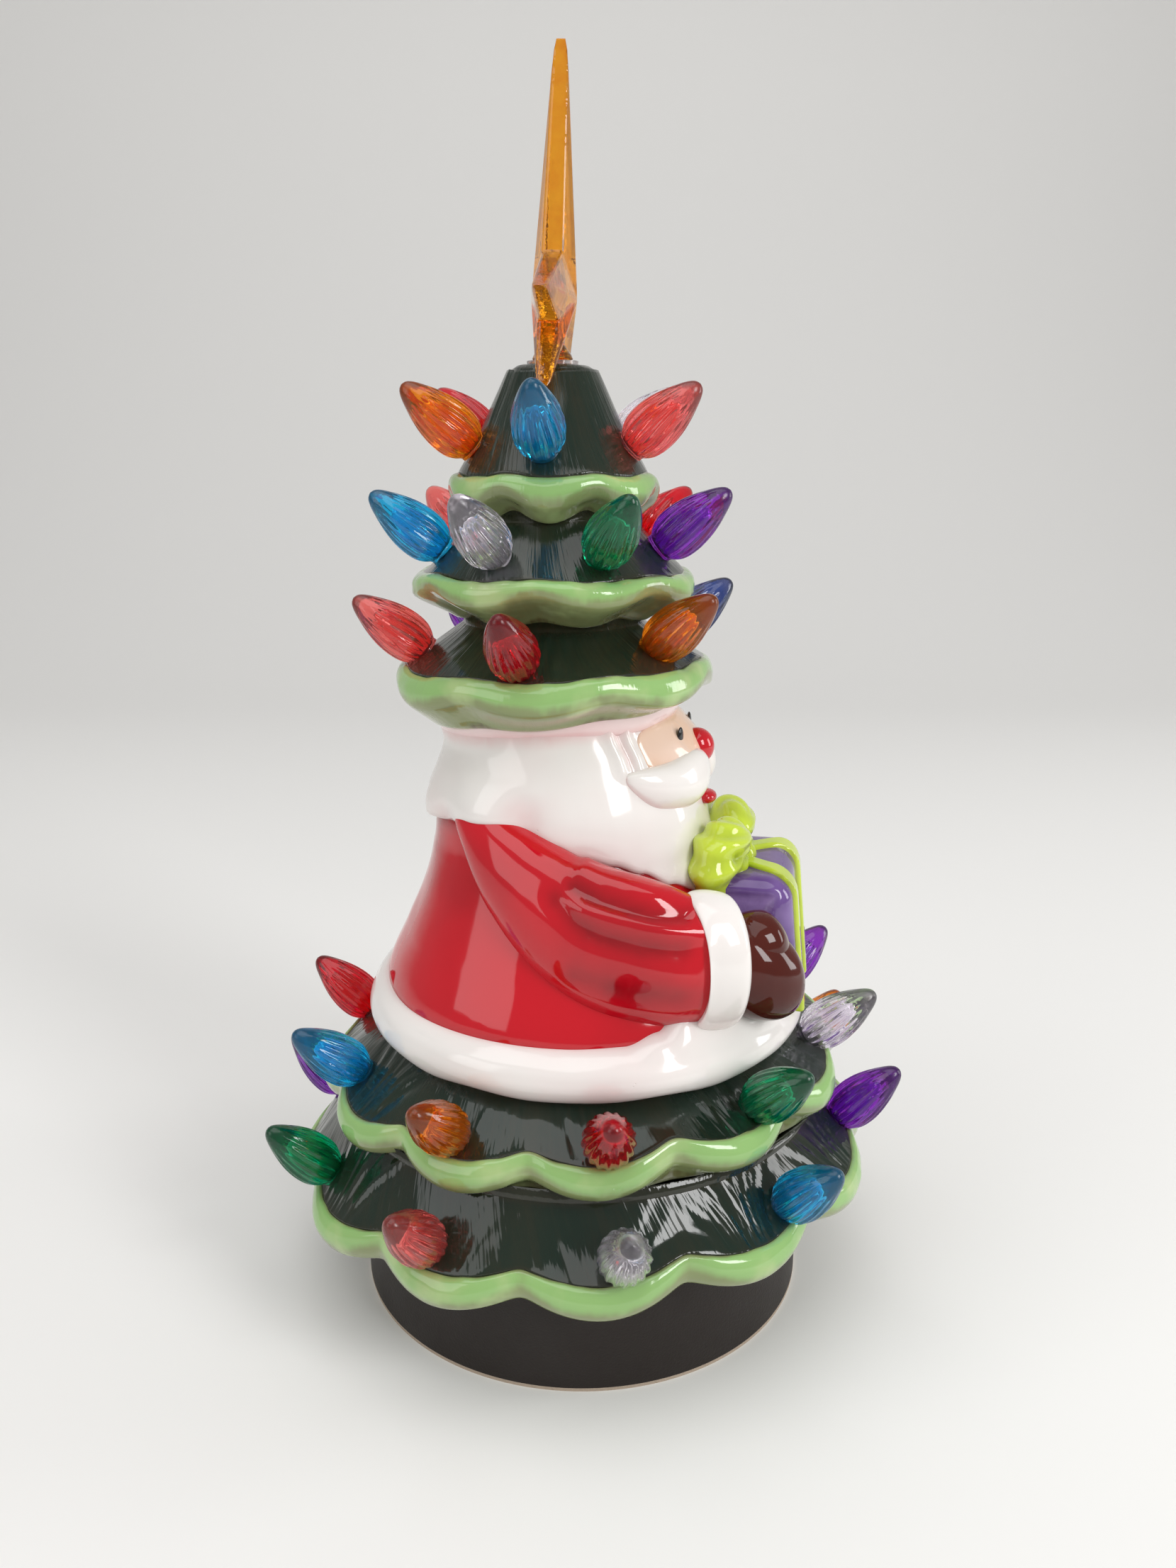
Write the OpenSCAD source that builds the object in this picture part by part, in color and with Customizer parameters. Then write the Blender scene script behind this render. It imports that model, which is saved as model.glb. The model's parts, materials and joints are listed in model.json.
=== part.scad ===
// Battery lit ceramic tree: three small tiers, a seated figure in a red coat and two wide tiers.
// The figure faces -Y, +Z is up, and the origin is the middle of the base on the table.

/* [Base] */
// Radius of the drum that the ceramic stands on
base_r = 62; // [58:0.5:66]
// Height of the drum with its foot ring
base_h = 33; // [30:0.5:38]
// Wall of the drum
base_wall = 2.4; // [1.6:0.1:3]
// Height of the ring that centres the ceramic
spigot_h = 5; // [3:0.5:7]
// Thickness of the foam foot ring
foot_h = 0.9; // [0.6:0.1:1.4]
// Thickness of the bottom plate
plate_t = 3; // [2.6:0.1:4]
// Gap between the table and the bottom plate
plate_lift = 2; // [1.6:0.1:3]

/* [Lower tiers] */
// Height of the lowest tier above the drum
tier_5_h = 22.5; // [20:0.5:26]
// Height of the tier under the coat
tier_4_h = 20.5; // [18:0.5:24]
// Radius at the rims of the tier under the coat and of the lowest tier
lower_rim_r = [72.5, 80.5]; // [68:0.5:84]
// Radius above each of these tiers
lower_neck_r = [54, 65]; // [50:0.5:68]
// Height of the widest line of each rim above the foot of its tier
lower_rim_rise = [10, 6.5]; // [3:0.5:12]
// Rise of those rims from their middle to the front
lower_front_rise = 3.8; // [0:0.2:6]
// Number of lobes on the two lower tiers
lower_lobes = 12; // [10:1:14]
// Depth of the notches between those lobes
lower_notch = 4; // [2:0.5:6]

/* [Upper tiers] */
// Height of the tier over the face
tier_3_h = 25; // [23:0.5:28]
// Height of the middle small tier
tier_2_h = 26; // [23:0.5:29]
// Height of the top tier with its flat crown
tier_1_h = 36.9; // [33:0.5:40]
// Distance of the small tiers behind the middle of the base
tree_back = 7.4; // [5:0.2:9]
// Radius at the rims from the top tier down
upper_rim_r = [27.2, 36.4, 42]; // [25:0.5:45]
// Radius of the crown, of the two necks and of the opening over the head
upper_neck_r = [10.9, 20.7, 23.5, 31.5]; // [9:0.5:34]
// Height of the widest line of each rim above the foot of its tier
upper_rim_rise = [8.5, 11.5, 12]; // [7:0.5:14]
// Number of lobes on each small tier
upper_lobes = 7; // [6:1:9]
// Depth of the notches between those lobes
upper_notch = 1.4; // [1:0.2:3]
// How far a lobe hangs below the notches beside it
lobe_dip = 3.2; // [1:0.2:4]
// Rise of the tier over the face from its middle to the front
brow_rise = 2.6; // [0:0.2:4]

/* [Ceramic] */
// Wall of the ceramic
wall = 4.5; // [3.5:0.1:5]
// Height of a rolled rim
rim_h = 7.5; // [6:0.5:9]

/* [Figure] */
// Height of the thick hem
hem_h = 14; // [12:0.5:16]
// Greatest radius of the hem
hem_r = 59.8; // [58:0.2:63]
// How far the hem stands forward of the middle
hem_forward = 1.2; // [0:0.2:2]
// Height of the coat at its middle
coat_h = 36; // [33:0.5:39]
// Half width of the coat where it meets the hem
coat_r = 53.5; // [51:0.5:56]
// Height of the head at its middle
head_h = 33.5; // [31:0.5:36]
// Half width of the hair
head_r = 37; // [35:0.5:39]
// Rise of the coat's neckline from its middle to the back
collar_tilt = 8; // [5:0.5:10]

/* [Gift] */
// Width of the gift
gift_w = 44; // [38:0.5:48]
// Depth of the gift in front of the coat
gift_d = 26; // [22:0.5:28]
// Height of the gift's top above the middle of the hem's lower edge
gift_rise = 44.5; // [41:0.5:47]
// Width of its ribbon
ribbon_w = 5; // [3:0.5:7]

/* [Bulbs] */
// Length of a bulb outside the ceramic
bulb_l = 22.4; // [20:0.2:26]
// Greatest diameter of a bulb
bulb_d = 12.8; // [11:0.2:14]
// Diameter of the peg of a bulb
bulb_peg_d = 5.2; // [4:0.2:6]
// Length of that peg
bulb_peg_l = 8; // [6:0.5:9]

/* [Star] */
// Length of the top point of the star
star_top = 57.5; // [50:0.5:60]
// Length of the points at its sides
star_side = 34; // [31:0.5:37]
// Length of the points that hang beside the crown
star_leg = 30; // [28:0.5:31]
// Height of the middle of the star over its seat
star_rise = 14.2; // [13:0.2:17]
// Lean of the star to the front, in degrees
star_lean = 1.9; // [0:0.1:4]
// Turn of the star on its peg, in degrees
star_turn = 6.5; // [0:0.5:12]
// Thickness of the star at its middle
star_t = 11.6; // [9:0.2:12]
// Diameter of the peg under the star
star_peg_d = 6; // [5:0.2:7]
// Length of that peg below the crown
star_peg_l = 11; // [8:0.5:13]

/* [Batteries] */
// Diameter of a cell
cell_d = 14.2; // [13.5:0.1:14.5]
// Length of a cell
cell_l = 50; // [48:0.5:50.5]
// Number of cells side by side
cells = 3; // [2:1:3]
// Room for the spring at one end
spring_l = 5; // [4:0.5:6]
// How far the switch slides each way
switch_travel = 3; // [2:0.5:3.5]

/* [Hidden] */

$fn = 48;
// Overrun of every cut past the face that it opens
cut = 1;
// Running gap between pieces that move on each other
gap = 0.3;
// Fit of a peg in its bore
fit = 0.05;

// Heights of the stack, from the table up
tier_5_z = base_h;
tier_4_z = tier_5_z + tier_5_h;
hem_z = tier_4_z + tier_4_h;
coat_z = hem_z + hem_h;
head_z = coat_z + coat_h;
tier_3_z = head_z + head_h;
tier_2_z = tier_3_z + tier_3_h;
tier_1_z = tier_2_z + tier_2_h;
crown_z = tier_1_z + tier_1_h;

// Points round a ring: six to a lobe, and the figure's own count
lobe_points = 6;
figure_points = 48;
arm_points = 20;

// A ring row is [half width, half depth, middle in Y, height, rise to the back, share of the lobes].
function round_row(r, mid, z, lobe_share = 0) = [r, r, mid, z, 0, lobe_share];

// A lobe is 1 in its middle and 0 in the notch beside it
function lobe(a, lobes) = pow(abs(cos(lobes * a / 2)), 0.75);

function ring_point(row, a, turn, lobes, notch, dip) =
    let (
        swell = lobe(a - turn, lobes),
        inward = notch * row[5] * (1 - swell)
    )
    [
        (row[0] - inward) * cos(a),
        row[2] + (row[1] - inward) * sin(a),
        row[3] + row[4] * sin(a) - dip * row[5] * swell
    ];

// Two triangles for each square between row i and the next one round the section, parted so that
// the closing squares match those of the ring that lies against them
function ring_faces(rows, count) = [
    for (i = [0:rows - 1], j = [0:count - 1])
        let (
            a = i * count + j,
            b = i * count + (j + 1) % count,
            c = ((i + 1) % rows) * count + (j + 1) % count,
            d = ((i + 1) % rows) * count + j
        )
        each (i < rows - 1 ? [[a, b, c], [a, c, d]] : [[a, b, d], [b, c, d]])
];

// A closed ring of material whose section runs through the rows, outside first and downwards
module ring_solid(rows, count, turn = 0, lobes = 1, notch = 0, dip = 0) {
    polyhedron(
        points = [
            for (row = rows, j = [0:count - 1])
                ring_point(row, turn + 360 * j / count, turn, lobes, notch, dip)
        ],
        faces = ring_faces(len(rows), count),
        convexity = 6
    );
}

// The same rows filled in to a closed body, used to cut what lies against it
module ring_body(rows, count) {
    n = len(rows);
    points = [
        for (row = rows, j = [0:count - 1])
            ring_point(row, 360 * j / count, 0, 1, 0, 0)
    ];
    sides = [
        for (i = [0:n - 2], j = [0:count - 1])
            let (
                a = i * count + j,
                b = i * count + (j + 1) % count,
                c = (i + 1) * count + (j + 1) % count,
                d = (i + 1) * count + j
            )
            each [[a, b, c], [a, c, d]]
    ];
    top = [0, rows[0][2], rows[0][3]];
    bottom = [0, rows[n - 1][2], rows[n - 1][3]];
    caps = [
        for (j = [0:count - 1])
            each [
                [n * count, (j + 1) % count, j],
                [n * count + 1, (n - 1) * count + j, (n - 1) * count + (j + 1) % count]
            ]
    ];
    polyhedron(points = concat(points, [top, bottom]), faces = concat(sides, caps), convexity = 6);
}

// A swept body: stations are [x, y, z, half across, half up], with a rounded nose at each end
function heading(path, i) =
    let (
        a = path[max(i - 1, 0)],
        b = path[min(i + 1, len(path) - 1)]
    )
    atan2(b[1] - a[1], b[0] - a[0]);

module swept_body(path, count = 16) {
    n = len(path);
    points = [
        for (i = [0:n - 1], j = [0:count - 1])
            let (
                turn = heading(path, i),
                across = path[i][3] * cos(360 * j / count),
                up = path[i][4] * sin(360 * j / count)
            )
            [path[i][0] - across * sin(turn), path[i][1] + across * cos(turn), path[i][2] + up]
    ];
    sides = [
        for (i = [0:n - 2], j = [0:count - 1])
            let (
                a = i * count + j,
                b = i * count + (j + 1) % count,
                c = (i + 1) * count + (j + 1) % count,
                d = (i + 1) * count + j
            )
            each [[a, c, b], [a, d, c]]
    ];
    ends = [for (i = [0, n - 1]) [path[i][0], path[i][1], path[i][2]]];
    caps = [
        for (j = [0:count - 1])
            each [
                [n * count, j, (j + 1) % count],
                [n * count + 1, (n - 1) * count + (j + 1) % count, (n - 1) * count + j]
            ]
    ];
    polyhedron(points = concat(points, ends), faces = concat(sides, caps), convexity = 6);
}

// An egg shape with the given halves, lying along X before it is turned
module egg(middle, halves, turn = [0, 0, 0], rings = 8) {
    path = [
        for (i = [0:rings])
            let (s = sin(84), t = -84 + 168 * i / rings)
            [halves[0] * sin(t) / s, 0, 0, halves[1] * cos(t), halves[2] * cos(t)]
    ];
    translate(middle)
        rotate(turn)
            swept_body(path);
}

// Tiers

// A tier is [neck r, neck z, rim r, rim z, foot r, foot z, middle in Y, lobes, notch, front rise of
// its neck, of its rim and of its foot, share of the lobes where the slope ends, turn of its lobes]
upper_z = [crown_z, tier_1_z, tier_2_z, tier_3_z];
lower_z = [hem_z, tier_4_z, tier_5_z];
lower_r = [lower_neck_r[0], lower_neck_r[1], base_r];
upper_edge_share = 0.35;
lower_edge_share = 0.8;
brow_shares = [0, 0, 0.4];

// The middle of one lobe of each tier, which the others follow round it
lobe_turns = [189.5, 210.5, 185, 195, 195];
function lobe_turn(t) = t[13];

function tier(i) =
    i < 3
    ? [
        upper_neck_r[i], upper_z[i], upper_rim_r[i], upper_z[i + 1] + upper_rim_rise[i],
        upper_neck_r[i + 1], upper_z[i + 1], tree_back, upper_lobes, upper_notch,
        0, brow_rise * brow_shares[i], i == 2 ? brow_rise : 0, upper_edge_share, lobe_turns[i]
    ]
    : [
        lower_r[i - 3], lower_z[i - 3], lower_rim_r[i - 3], lower_z[i - 2] + lower_rim_rise[i - 3],
        lower_r[i - 2], lower_z[i - 2], 0, lower_lobes, lower_notch,
        0, lower_front_rise, 0, lower_edge_share, lobe_turns[i]
    ];

// The cone's outline as [share of the way down, share of the way out, share of the lobes]
cone_shares = [[0.3, 0.26, 0.2], [0.66, 0.62, 0.6], [1, 1, 1]];
// The rim's outline as [share of the rim's height, share of the roll's reach, share of the lobes]
rim_roll_shares = [[0.5, 1, 1], [0.84, 0.66, 1]];
// Where the dark slope ends on the rim, as shares of the rim's height and of its reach
rim_edge_share = 0.5;
rim_reach = rim_h / 2.6;

function edge_r(t) = t[2] - rim_reach;
function edge_z(t) = t[3] + rim_edge_share * rim_h;

function tier_row(t, r, z, front_rise, lobe_share = 0) = [r, r, t[6], z, -front_rise, lobe_share];

// A point of the slope, a share of the way from the neck to the rim
function slope_row(t, s) =
    tier_row(
        t, t[0] + (edge_r(t) - t[0]) * s[1], t[1] + (edge_z(t) - t[1]) * s[0],
        t[9] + (t[10] - t[9]) * s[1], s[2] * t[12]
    );

function roll_row(t, s) =
    tier_row(t, edge_r(t) + rim_reach * s[1], edge_z(t) - rim_h * s[0], t[10], s[2]);

function neck_row(t) = tier_row(t, t[0], t[1], t[9]);
function foot_row(t) = tier_row(t, t[4], t[5], t[11]);
function inner_neck_row(t) = tier_row(t, t[0] - wall, t[1], t[9]);
function inner_foot_row(t) = tier_row(t, t[4] - wall, t[5], t[11]);
function belly_row(t) = tier_row(t, t[2] - 2 * wall, t[3], t[10]);

module tier_ring(t, rows) {
    ring_solid(rows, t[7] * lobe_points, lobe_turn(t), t[7], t[8], lobe_dip);
}

module tier_slope(t) {
    tier_ring(t, concat(
        [neck_row(t)],
        [for (s = cone_shares) slope_row(t, s)],
        [belly_row(t), inner_neck_row(t)]
    ));
}

module tier_roll(t) {
    tier_ring(t, concat(
        [slope_row(t, cone_shares[2])],
        [for (s = rim_roll_shares) roll_row(t, s)],
        [foot_row(t), inner_foot_row(t), belly_row(t)]
    ));
}

// The crown is closed over the top, apart from the bore for the star's socket
crown_edge_share = 0.74;
crown_drop_share = 0.25;
module crown_ring() {
    t = tier(0);
    shoulder_z = t[1] - t[0] * crown_drop_share;
    tier_ring(t, concat(
        [round_row(socket_r / 2, t[6], t[1]), round_row(t[0] * crown_edge_share, t[6], t[1])],
        [round_row(t[0], t[6], shoulder_z)],
        [for (s = cone_shares) slope_row(t, s)],
        [belly_row(t), round_row(t[0] - wall / 2, t[6], t[1] - 2 * wall)],
        [round_row(socket_r / 2, t[6], t[1] - wall)]
    ));
}

// Bulbs

// Lean above level of the bulbs on each tier, from the top down
bulb_leans = [40, 39, 38, 40, 45];
// The bulbs of each tier as [angle, share of the way down the slope, colour]
bulb_place_shares = [
    [
        [119, 0.78, "amber"], [185, 0.78, "blue"], [261, 0.78, "coral"], [313, 0.78, "clear"],
        [6, 0.78, "green"], [66, 0.78, "red"]
    ],
    [
        [112, 0.66, "blue"], [163.4, 0.66, "clear"], [214.9, 0.66, "green"], [266.3, 0.6, "purple"],
        [317.7, 0.66, "red"], [9.1, 0.66, "amber"], [60.6, 0.66, "coral"]
    ],
    [
        [111, 0.7, "coral"], [178, 0.7, "red"], [244, 0.53, "amber"], [295, 0.53, "navy"],
        [351, 0.7, "green"], [48, 0.7, "purple"]
    ],
    [
        [196, 0.72, "red"], [232, 0.72, "green"], [268, 0.72, "clear"], [304, 0.72, "purple"],
        [340, 0.72, "amber"], [16, 0.72, "blue"], [52, 0.72, "clear"], [88, 0.72, "red"],
        [124, 0.72, "blue"], [163, 0.72, "amber"]
    ],
    [
        [198, 0.76, "clear"], [234, 0.76, "blue"], [270, 0.76, "purple"], [306, 0.76, "amber"],
        [342, 0.76, "green"], [18, 0.76, "red"], [54, 0.76, "navy"], [90, 0.76, "purple"],
        [126, 0.76, "green"], [162, 0.76, "coral"]
    ]
];
// The outline of a bulb as [share of its length, share of its radius]
bulb_shares = [
    [0, 0.62], [0.06, 0.62], [0.09, 0.78], [0.17, 0.93], [0.28, 1], [0.42, 0.99], [0.56, 0.9],
    [0.70, 0.74], [0.82, 0.56], [0.92, 0.38], [0.98, 0.21], [1, 0]
];
// How deep the collar of a bulb sits in the ceramic
bulb_sink = 0.6;
// How much of a bulb's length the seat's cut follows
bulb_seat_share = 0.3;

// The place of a bulb: the slope's surface at this share and angle
function seat_point(t, s, a) =
    let (
        low = s < cone_shares[1][0] ? 0 : 1,
        from = cone_shares[low],
        to = cone_shares[low + 1],
        k = (s - from[0]) / (to[0] - from[0]),
        here = from + (to - from) * k
    )
    ring_point(slope_row(t, here), a, lobe_turn(t), t[7], t[8], lobe_dip);

module at_seat(i, place) {
    t = tier(i);
    p = seat_point(t, place[1], place[0]);
    translate(p)
        rotate([0, 90 - bulb_leans[i], bulb_heading(t, p)])
            translate([0, 0, -bulb_sink])
                children();
}

function bulb_heading(t, p) = atan2(p[1] - t[6], p[0]);

module bulb() {
    rotate_extrude()
        polygon(concat(
            [[0, -bulb_peg_l], [bulb_peg_d / 2, -bulb_peg_l], [bulb_peg_d / 2, 0]],
            [for (s = bulb_shares) [bulb_d / 2 * s[1], (bulb_l + bulb_sink) * s[0]]]
        ));
}

module bulbs(name) {
    for (i = [0:4], place = bulb_place_shares[i])
        if (place[2] == name)
            at_seat(i, place)
                bulb();
}

// The bore and the countersunk seat of each bulb of one tier, a fit larger than the bulb all round
module bulb_bores(i) {
    for (place = bulb_place_shares[i])
        at_seat(i, place) {
            translate([0, 0, -bulb_peg_l - cut])
                cylinder(r = bulb_peg_d / 2 + fit, h = bulb_peg_l + 2 * cut);
            rotate_extrude()
                polygon(concat(
                    [[0, -fit]],
                    [for (s = bulb_shares) if (s[0] < bulb_seat_share)
                        [bulb_d / 2 * s[1] + fit, (bulb_l + bulb_sink) * s[0] - fit]],
                    [[bulb_d / 2 + fit, bulb_l * bulb_seat_share], [0, bulb_l * bulb_seat_share]]
                ));
        }
}

module tier_shell(i) {
    color("darkslategray")
        difference() {
            if (i == 0) crown_ring();
            else tier_slope(tier(i));
            bulb_bores(i);
            if (i == 0) star_bore();
        }
}

module tier_rim(i) {
    color("darkseagreen")
        difference() {
            tier_roll(tier(i));
            bulb_bores(i);
        }
}

module bulbs_red() { color("firebrick") bulbs("red"); }
module bulbs_amber() { color("darkorange") bulbs("amber"); }
module bulbs_coral() { color("salmon") bulbs("coral"); }
module bulbs_blue() { color("deepskyblue") bulbs("blue"); }
module bulbs_navy() { color("midnightblue") bulbs("navy"); }
module bulbs_green() { color("seagreen") bulbs("green"); }
module bulbs_purple() { color("rebeccapurple") bulbs("purple"); }
module bulbs_clear() { color("lavender") bulbs("clear"); }

// Star

socket_wall = 2.4;
socket_r = star_peg_d / 2 + socket_wall;
socket_flange_t = 1;
socket_flange_r = socket_r + socket_flange_t;
socket_l = star_peg_l + cut;
star_foot_t = 1.6;
star_foot_r = star_peg_d / 2 + star_foot_t;
star_seat_z = crown_z + socket_flange_t;
star_z = star_seat_z + star_rise;
// The star's outline from the top point round, as [angle, which length, share of that length]
star_shares = [
    [90, 0, 1], [126, 1, 0.36], [181, 1, 1], [207, 1, 0.38], [225, 2, 1], [270, 1, 0.25],
    [315, 2, 1], [333, 1, 0.38], [-1, 1, 1], [54, 1, 0.36]
];
star_tip_share = 0.28;
star_waist_share = 0.42;

module star_bore() {
    translate([0, tree_back, crown_z - socket_l - cut])
        cylinder(r = socket_r + fit, h = socket_l + 2 * cut);
}

module star_socket() {
    color("ghostwhite")
        translate([0, tree_back, 0])
            difference() {
                union() {
                    translate([0, 0, crown_z - socket_l])
                        cylinder(r = socket_r, h = socket_l);
                    translate([0, 0, crown_z])
                        cylinder(r = socket_flange_r, h = socket_flange_t);
                }
                translate([0, 0, crown_z - socket_l - cut])
                    cylinder(r = star_peg_d / 2 + fit, h = socket_l + socket_flange_t + 2 * cut);
            }
}

// A point of the star's outline, with its half thickness
function star_ray(k) =
    let (
        s = star_shares[k],
        r = [star_top, star_side, star_leg][s[1]] * s[2]
    )
    [r * cos(s[0]), r * sin(s[0]), star_t / 2 * (s[2] == 1 ? star_tip_share : star_waist_share)];

module star_body() {
    rays = [for (k = [0:9]) star_ray(k)];
    points = concat(
        [for (p = rays) [p[0], -p[2], p[1]]],
        [for (p = rays) [p[0], p[2], p[1]]],
        [[0, -star_t / 2, 0], [0, star_t / 2, 0]]
    );
    faces = [
        for (k = [0:9])
            let (n = (k + 1) % 10)
            each [[20, n, k], [21, k + 10, n + 10], [k, n, n + 10], [k, n + 10, k + 10]]
    ];
    polyhedron(points = points, faces = faces, convexity = 4);
}

module star_topper() {
    color("orange")
        translate([0, tree_back, 0]) {
            translate([0, 0, star_seat_z])
                rotate([star_lean, 0, star_turn])
                    translate([0, 0, star_rise])
                        star_body();
            translate([0, 0, crown_z - star_peg_l])
                cylinder(d = star_peg_d, h = star_z - crown_z + star_peg_l);
            translate([0, 0, star_seat_z])
                cylinder(r = star_foot_r, h = star_foot_t);
        }
}

// Figure

// Rows of the head as [share of its height, half width, half depth, middle, neckline rise],
// all but the first as shares of the head's radius or of the collar's tilt
head_shares = [
    [0.82, 0.88, 0.865, 0.11, 0], [0.64, 0.95, 0.93, 0.11, 0], [0.42, 0.985, 0.98, 0.095, 0.25],
    [0.18, 0.985, 1, 0.07, 0.62], [0, 0.93, 0.96, 0.068, 1]
];
// Rows of the coat as [share of its height, half width, half depth, middle, neckline rise],
// as shares of the coat's radius or of the collar's tilt
coat_shares = [[0.72, 0.8, 0.77, 0.028, 0.5], [0.4, 0.885, 0.865, 0.018, 0.12], [0, 1, 1, 0, 0]];
// Rows of the hem as [share of its height, share of the way from the coat out to its full reach]
hem_shares = [[0.9, 0.55], [0.64, 0.96], [0.38, 1], [0.15, 0.8], [0, 0.2]];

function head_row(s, inset = 0) =
    [
        head_r * s[1] - inset, head_r * s[2] - inset, head_r * s[3],
        head_z + head_h * s[0], collar_tilt * s[4], 0
    ];
function head_top_row(inset = 0, drop = 0) =
    [upper_neck_r[3] - inset, upper_neck_r[3] - inset, tree_back, tier_3_z - drop, -brow_rise, 0];
function coat_row(s, inset = 0) =
    [
        coat_r * s[1] - inset, coat_r * s[2] - inset, coat_r * s[3],
        coat_z + coat_h * s[0], collar_tilt * s[4], 0
    ];
function hem_row(s) =
    round_row(coat_r + (hem_r - coat_r) * s[1], -hem_forward * s[1], hem_z + hem_h * s[0]);

head_rows = concat([head_top_row()], [for (s = head_shares) head_row(s)]);
coat_rows = concat([head_rows[5]], [for (s = coat_shares) coat_row(s)]);
hem_rows = concat([coat_rows[3]], [for (s = hem_shares) hem_row(s)]);

module head_form() { ring_body(head_rows, figure_points); }
module coat_form() { ring_body(coat_rows, figure_points); }
module hem_form() { ring_body(hem_rows, figure_points); }

module head_shell() {
    color("whitesmoke")
        ring_solid(concat(
            head_rows,
            [head_row(head_shares[4], wall), head_row(head_shares[2], wall), head_top_row(wall)]
        ), figure_points);
}

module coat_shell() {
    color("crimson")
        ring_solid(concat(
            coat_rows,
            [coat_row(coat_shares[2], wall), coat_row(coat_shares[1], wall)],
            [head_row(head_shares[4], wall)]
        ), figure_points);
}

module coat_hem() {
    color("snow")
        ring_solid(concat(
            hem_rows,
            [round_row(lower_neck_r[0] - wall, 0, hem_z), coat_row(coat_shares[2], wall)]
        ), figure_points);
}

// The fur band of the hat, all round under the tier over the face
band_h = 3.4;
band_proud = 1.1;
// The band's outline as [share of its height, share of how far it stands proud]
band_shares = [[0, 0], [0.3, 1], [0.75, 0.9], [1, -1], [0.5, -2]];

// A row of the band, which keeps to the head's outline and to the tilt of the tier over it
function band_row(s) =
    let (
        top = head_top_row(),
        below = head_row(head_shares[0]),
        down = band_h * s[0] / (top[3] - below[3]),
        here = top + (below - top) * down,
        proud = band_proud * s[1]
    )
    [here[0] + proud, here[1] + proud, here[2], here[3], top[4], 0];

module hat_band() {
    color("mistyrose")
        difference() {
            ring_solid([for (s = band_shares) band_row(s)], figure_points);
            head_form();
        }
}

// Face pieces: places and half sizes as shares of the head's radius, from the face's own middle
face_height_share = 0.83;
face_z = head_z + head_h * face_height_share;
face_front_share = 0.216;
face_y = -head_r * face_front_share;
face_half_shares = [0.68, 0.62, 0.221];
face_back_share = 0.4;
face_half = [head_r * face_half_shares[0], head_r * face_half_shares[1], head_h * face_half_shares[2]];
// The place of an eye on the face, as shares of the face's half width and half height
eye_shares = [0.341, 0.44];
eye_half_shares = [0.038, 0.038, 0.054];
nose_shares = [0, -0.82, -0.014];
nose_half_shares = [0.143, 0.132, 0.119];
mouth_shares = [0, -0.92, -0.41];
mouth_half_shares = [0.119, 0.081, 0.065];

function face_place(shares) = [head_r * shares[0], head_r * shares[1], face_z + head_r * shares[2]];

module face_form() {
    egg([0, face_y, face_z], face_half, rings = 12);
}

module nose_form() {
    egg(face_place(nose_shares), head_r * nose_half_shares);
}

module mouth_form() {
    egg(face_place(mouth_shares), head_r * mouth_half_shares);
}

// The moustache runs from under the nose round each cheek, as [x, y, rise, half across, half up]
moustache_shares = [
    [0.027, -0.905, -0.2, 0.038, 0.049], [0.135, -0.919, -0.222, 0.092, 0.124],
    [0.324, -0.849, -0.259, 0.114, 0.146], [0.54, -0.714, -0.254, 0.108, 0.13],
    [0.72, -0.503, -0.178, 0.081, 0.097], [0.838, -0.27, -0.086, 0.049, 0.054]
];
moustache_points = 12;
module moustache_form() {
    for (side = [0, 1])
        mirror([side, 0, 0])
            swept_body(scaled_path(moustache_shares, head_r, face_z), moustache_points);
}

module face() {
    color("bisque")
        difference() {
            face_form();
            head_form();
            hat_band();
            translate([-head_r, -head_r * face_back_share, head_z])
                cube([2 * head_r, 2 * head_r, 2 * head_h]);
        }
}

module nose() {
    color("red")
        difference() {
            nose_form();
            face_form();
            head_form();
        }
}

// An eye lies on the curve of the face
module eye_forms() {
    depth = face_half[1] * sqrt(1 - pow(eye_shares[0], 2) - pow(eye_shares[1], 2));
    for (side = [-1, 1])
        egg([
            side * face_half[0] * eye_shares[0], face_y - depth, face_z + face_half[2] * eye_shares[1]
        ], head_r * eye_half_shares);
}

module eyes() {
    color("black")
        difference() {
            eye_forms();
            face_form();
            head_form();
            hat_band();
        }
}

module moustache() {
    color("white")
        difference() {
            moustache_form();
            face_form();
            nose_form();
            head_form();
        }
}

module mouth() {
    color("red")
        difference() {
            mouth_form();
            head_form();
            moustache_form();
        }
}

// Arms: stations as [x, y, rise, half across, half up] shares of the coat's radius, from the
// shoulder to the fingers, above the coat's lower edge
wrist_shares = [0.68, -0.626, 0.327, 0.196, 0.29];
sleeve_shares = [
    [0.54, 0.3, 0.73, 0.15, 0.15], [0.625, 0.19, 0.655, 0.205, 0.28], [0.72, 0, 0.515, 0.225, 0.335],
    [0.757, -0.22, 0.4, 0.225, 0.33], [0.74, -0.45, 0.345, 0.215, 0.31], wrist_shares
];
cuff_shares = [
    wrist_shares, [0.678, -0.637, 0.323, 0.224, 0.314], [0.643, -0.72, 0.318, 0.235, 0.325],
    [0.602, -0.804, 0.31, 0.22, 0.307], [0.594, -0.817, 0.307, 0.18, 0.262]
];
mitten_shares = [
    [0.594, -0.815, 0.28, 0.16, 0.196], [0.58, -0.852, 0.27, 0.18, 0.215],
    [0.542, -0.935, 0.243, 0.194, 0.232], [0.497, -1.019, 0.217, 0.176, 0.217],
    [0.452, -1.09, 0.194, 0.127, 0.16], [0.422, -1.133, 0.187, 0.056, 0.086]
];
thumb_shares = [0.523, -0.953, 0.383];
thumb_half_shares = [0.12, 0.123, 0.123];

// A table of shares made a path, measured in r above z
function scaled_path(shares, r, z) =
    [for (s = shares) [r * s[0], r * s[1], z + r * s[2], r * s[3], r * s[4]]];
function arm_path(shares) = scaled_path(shares, coat_r, coat_z);

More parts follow.
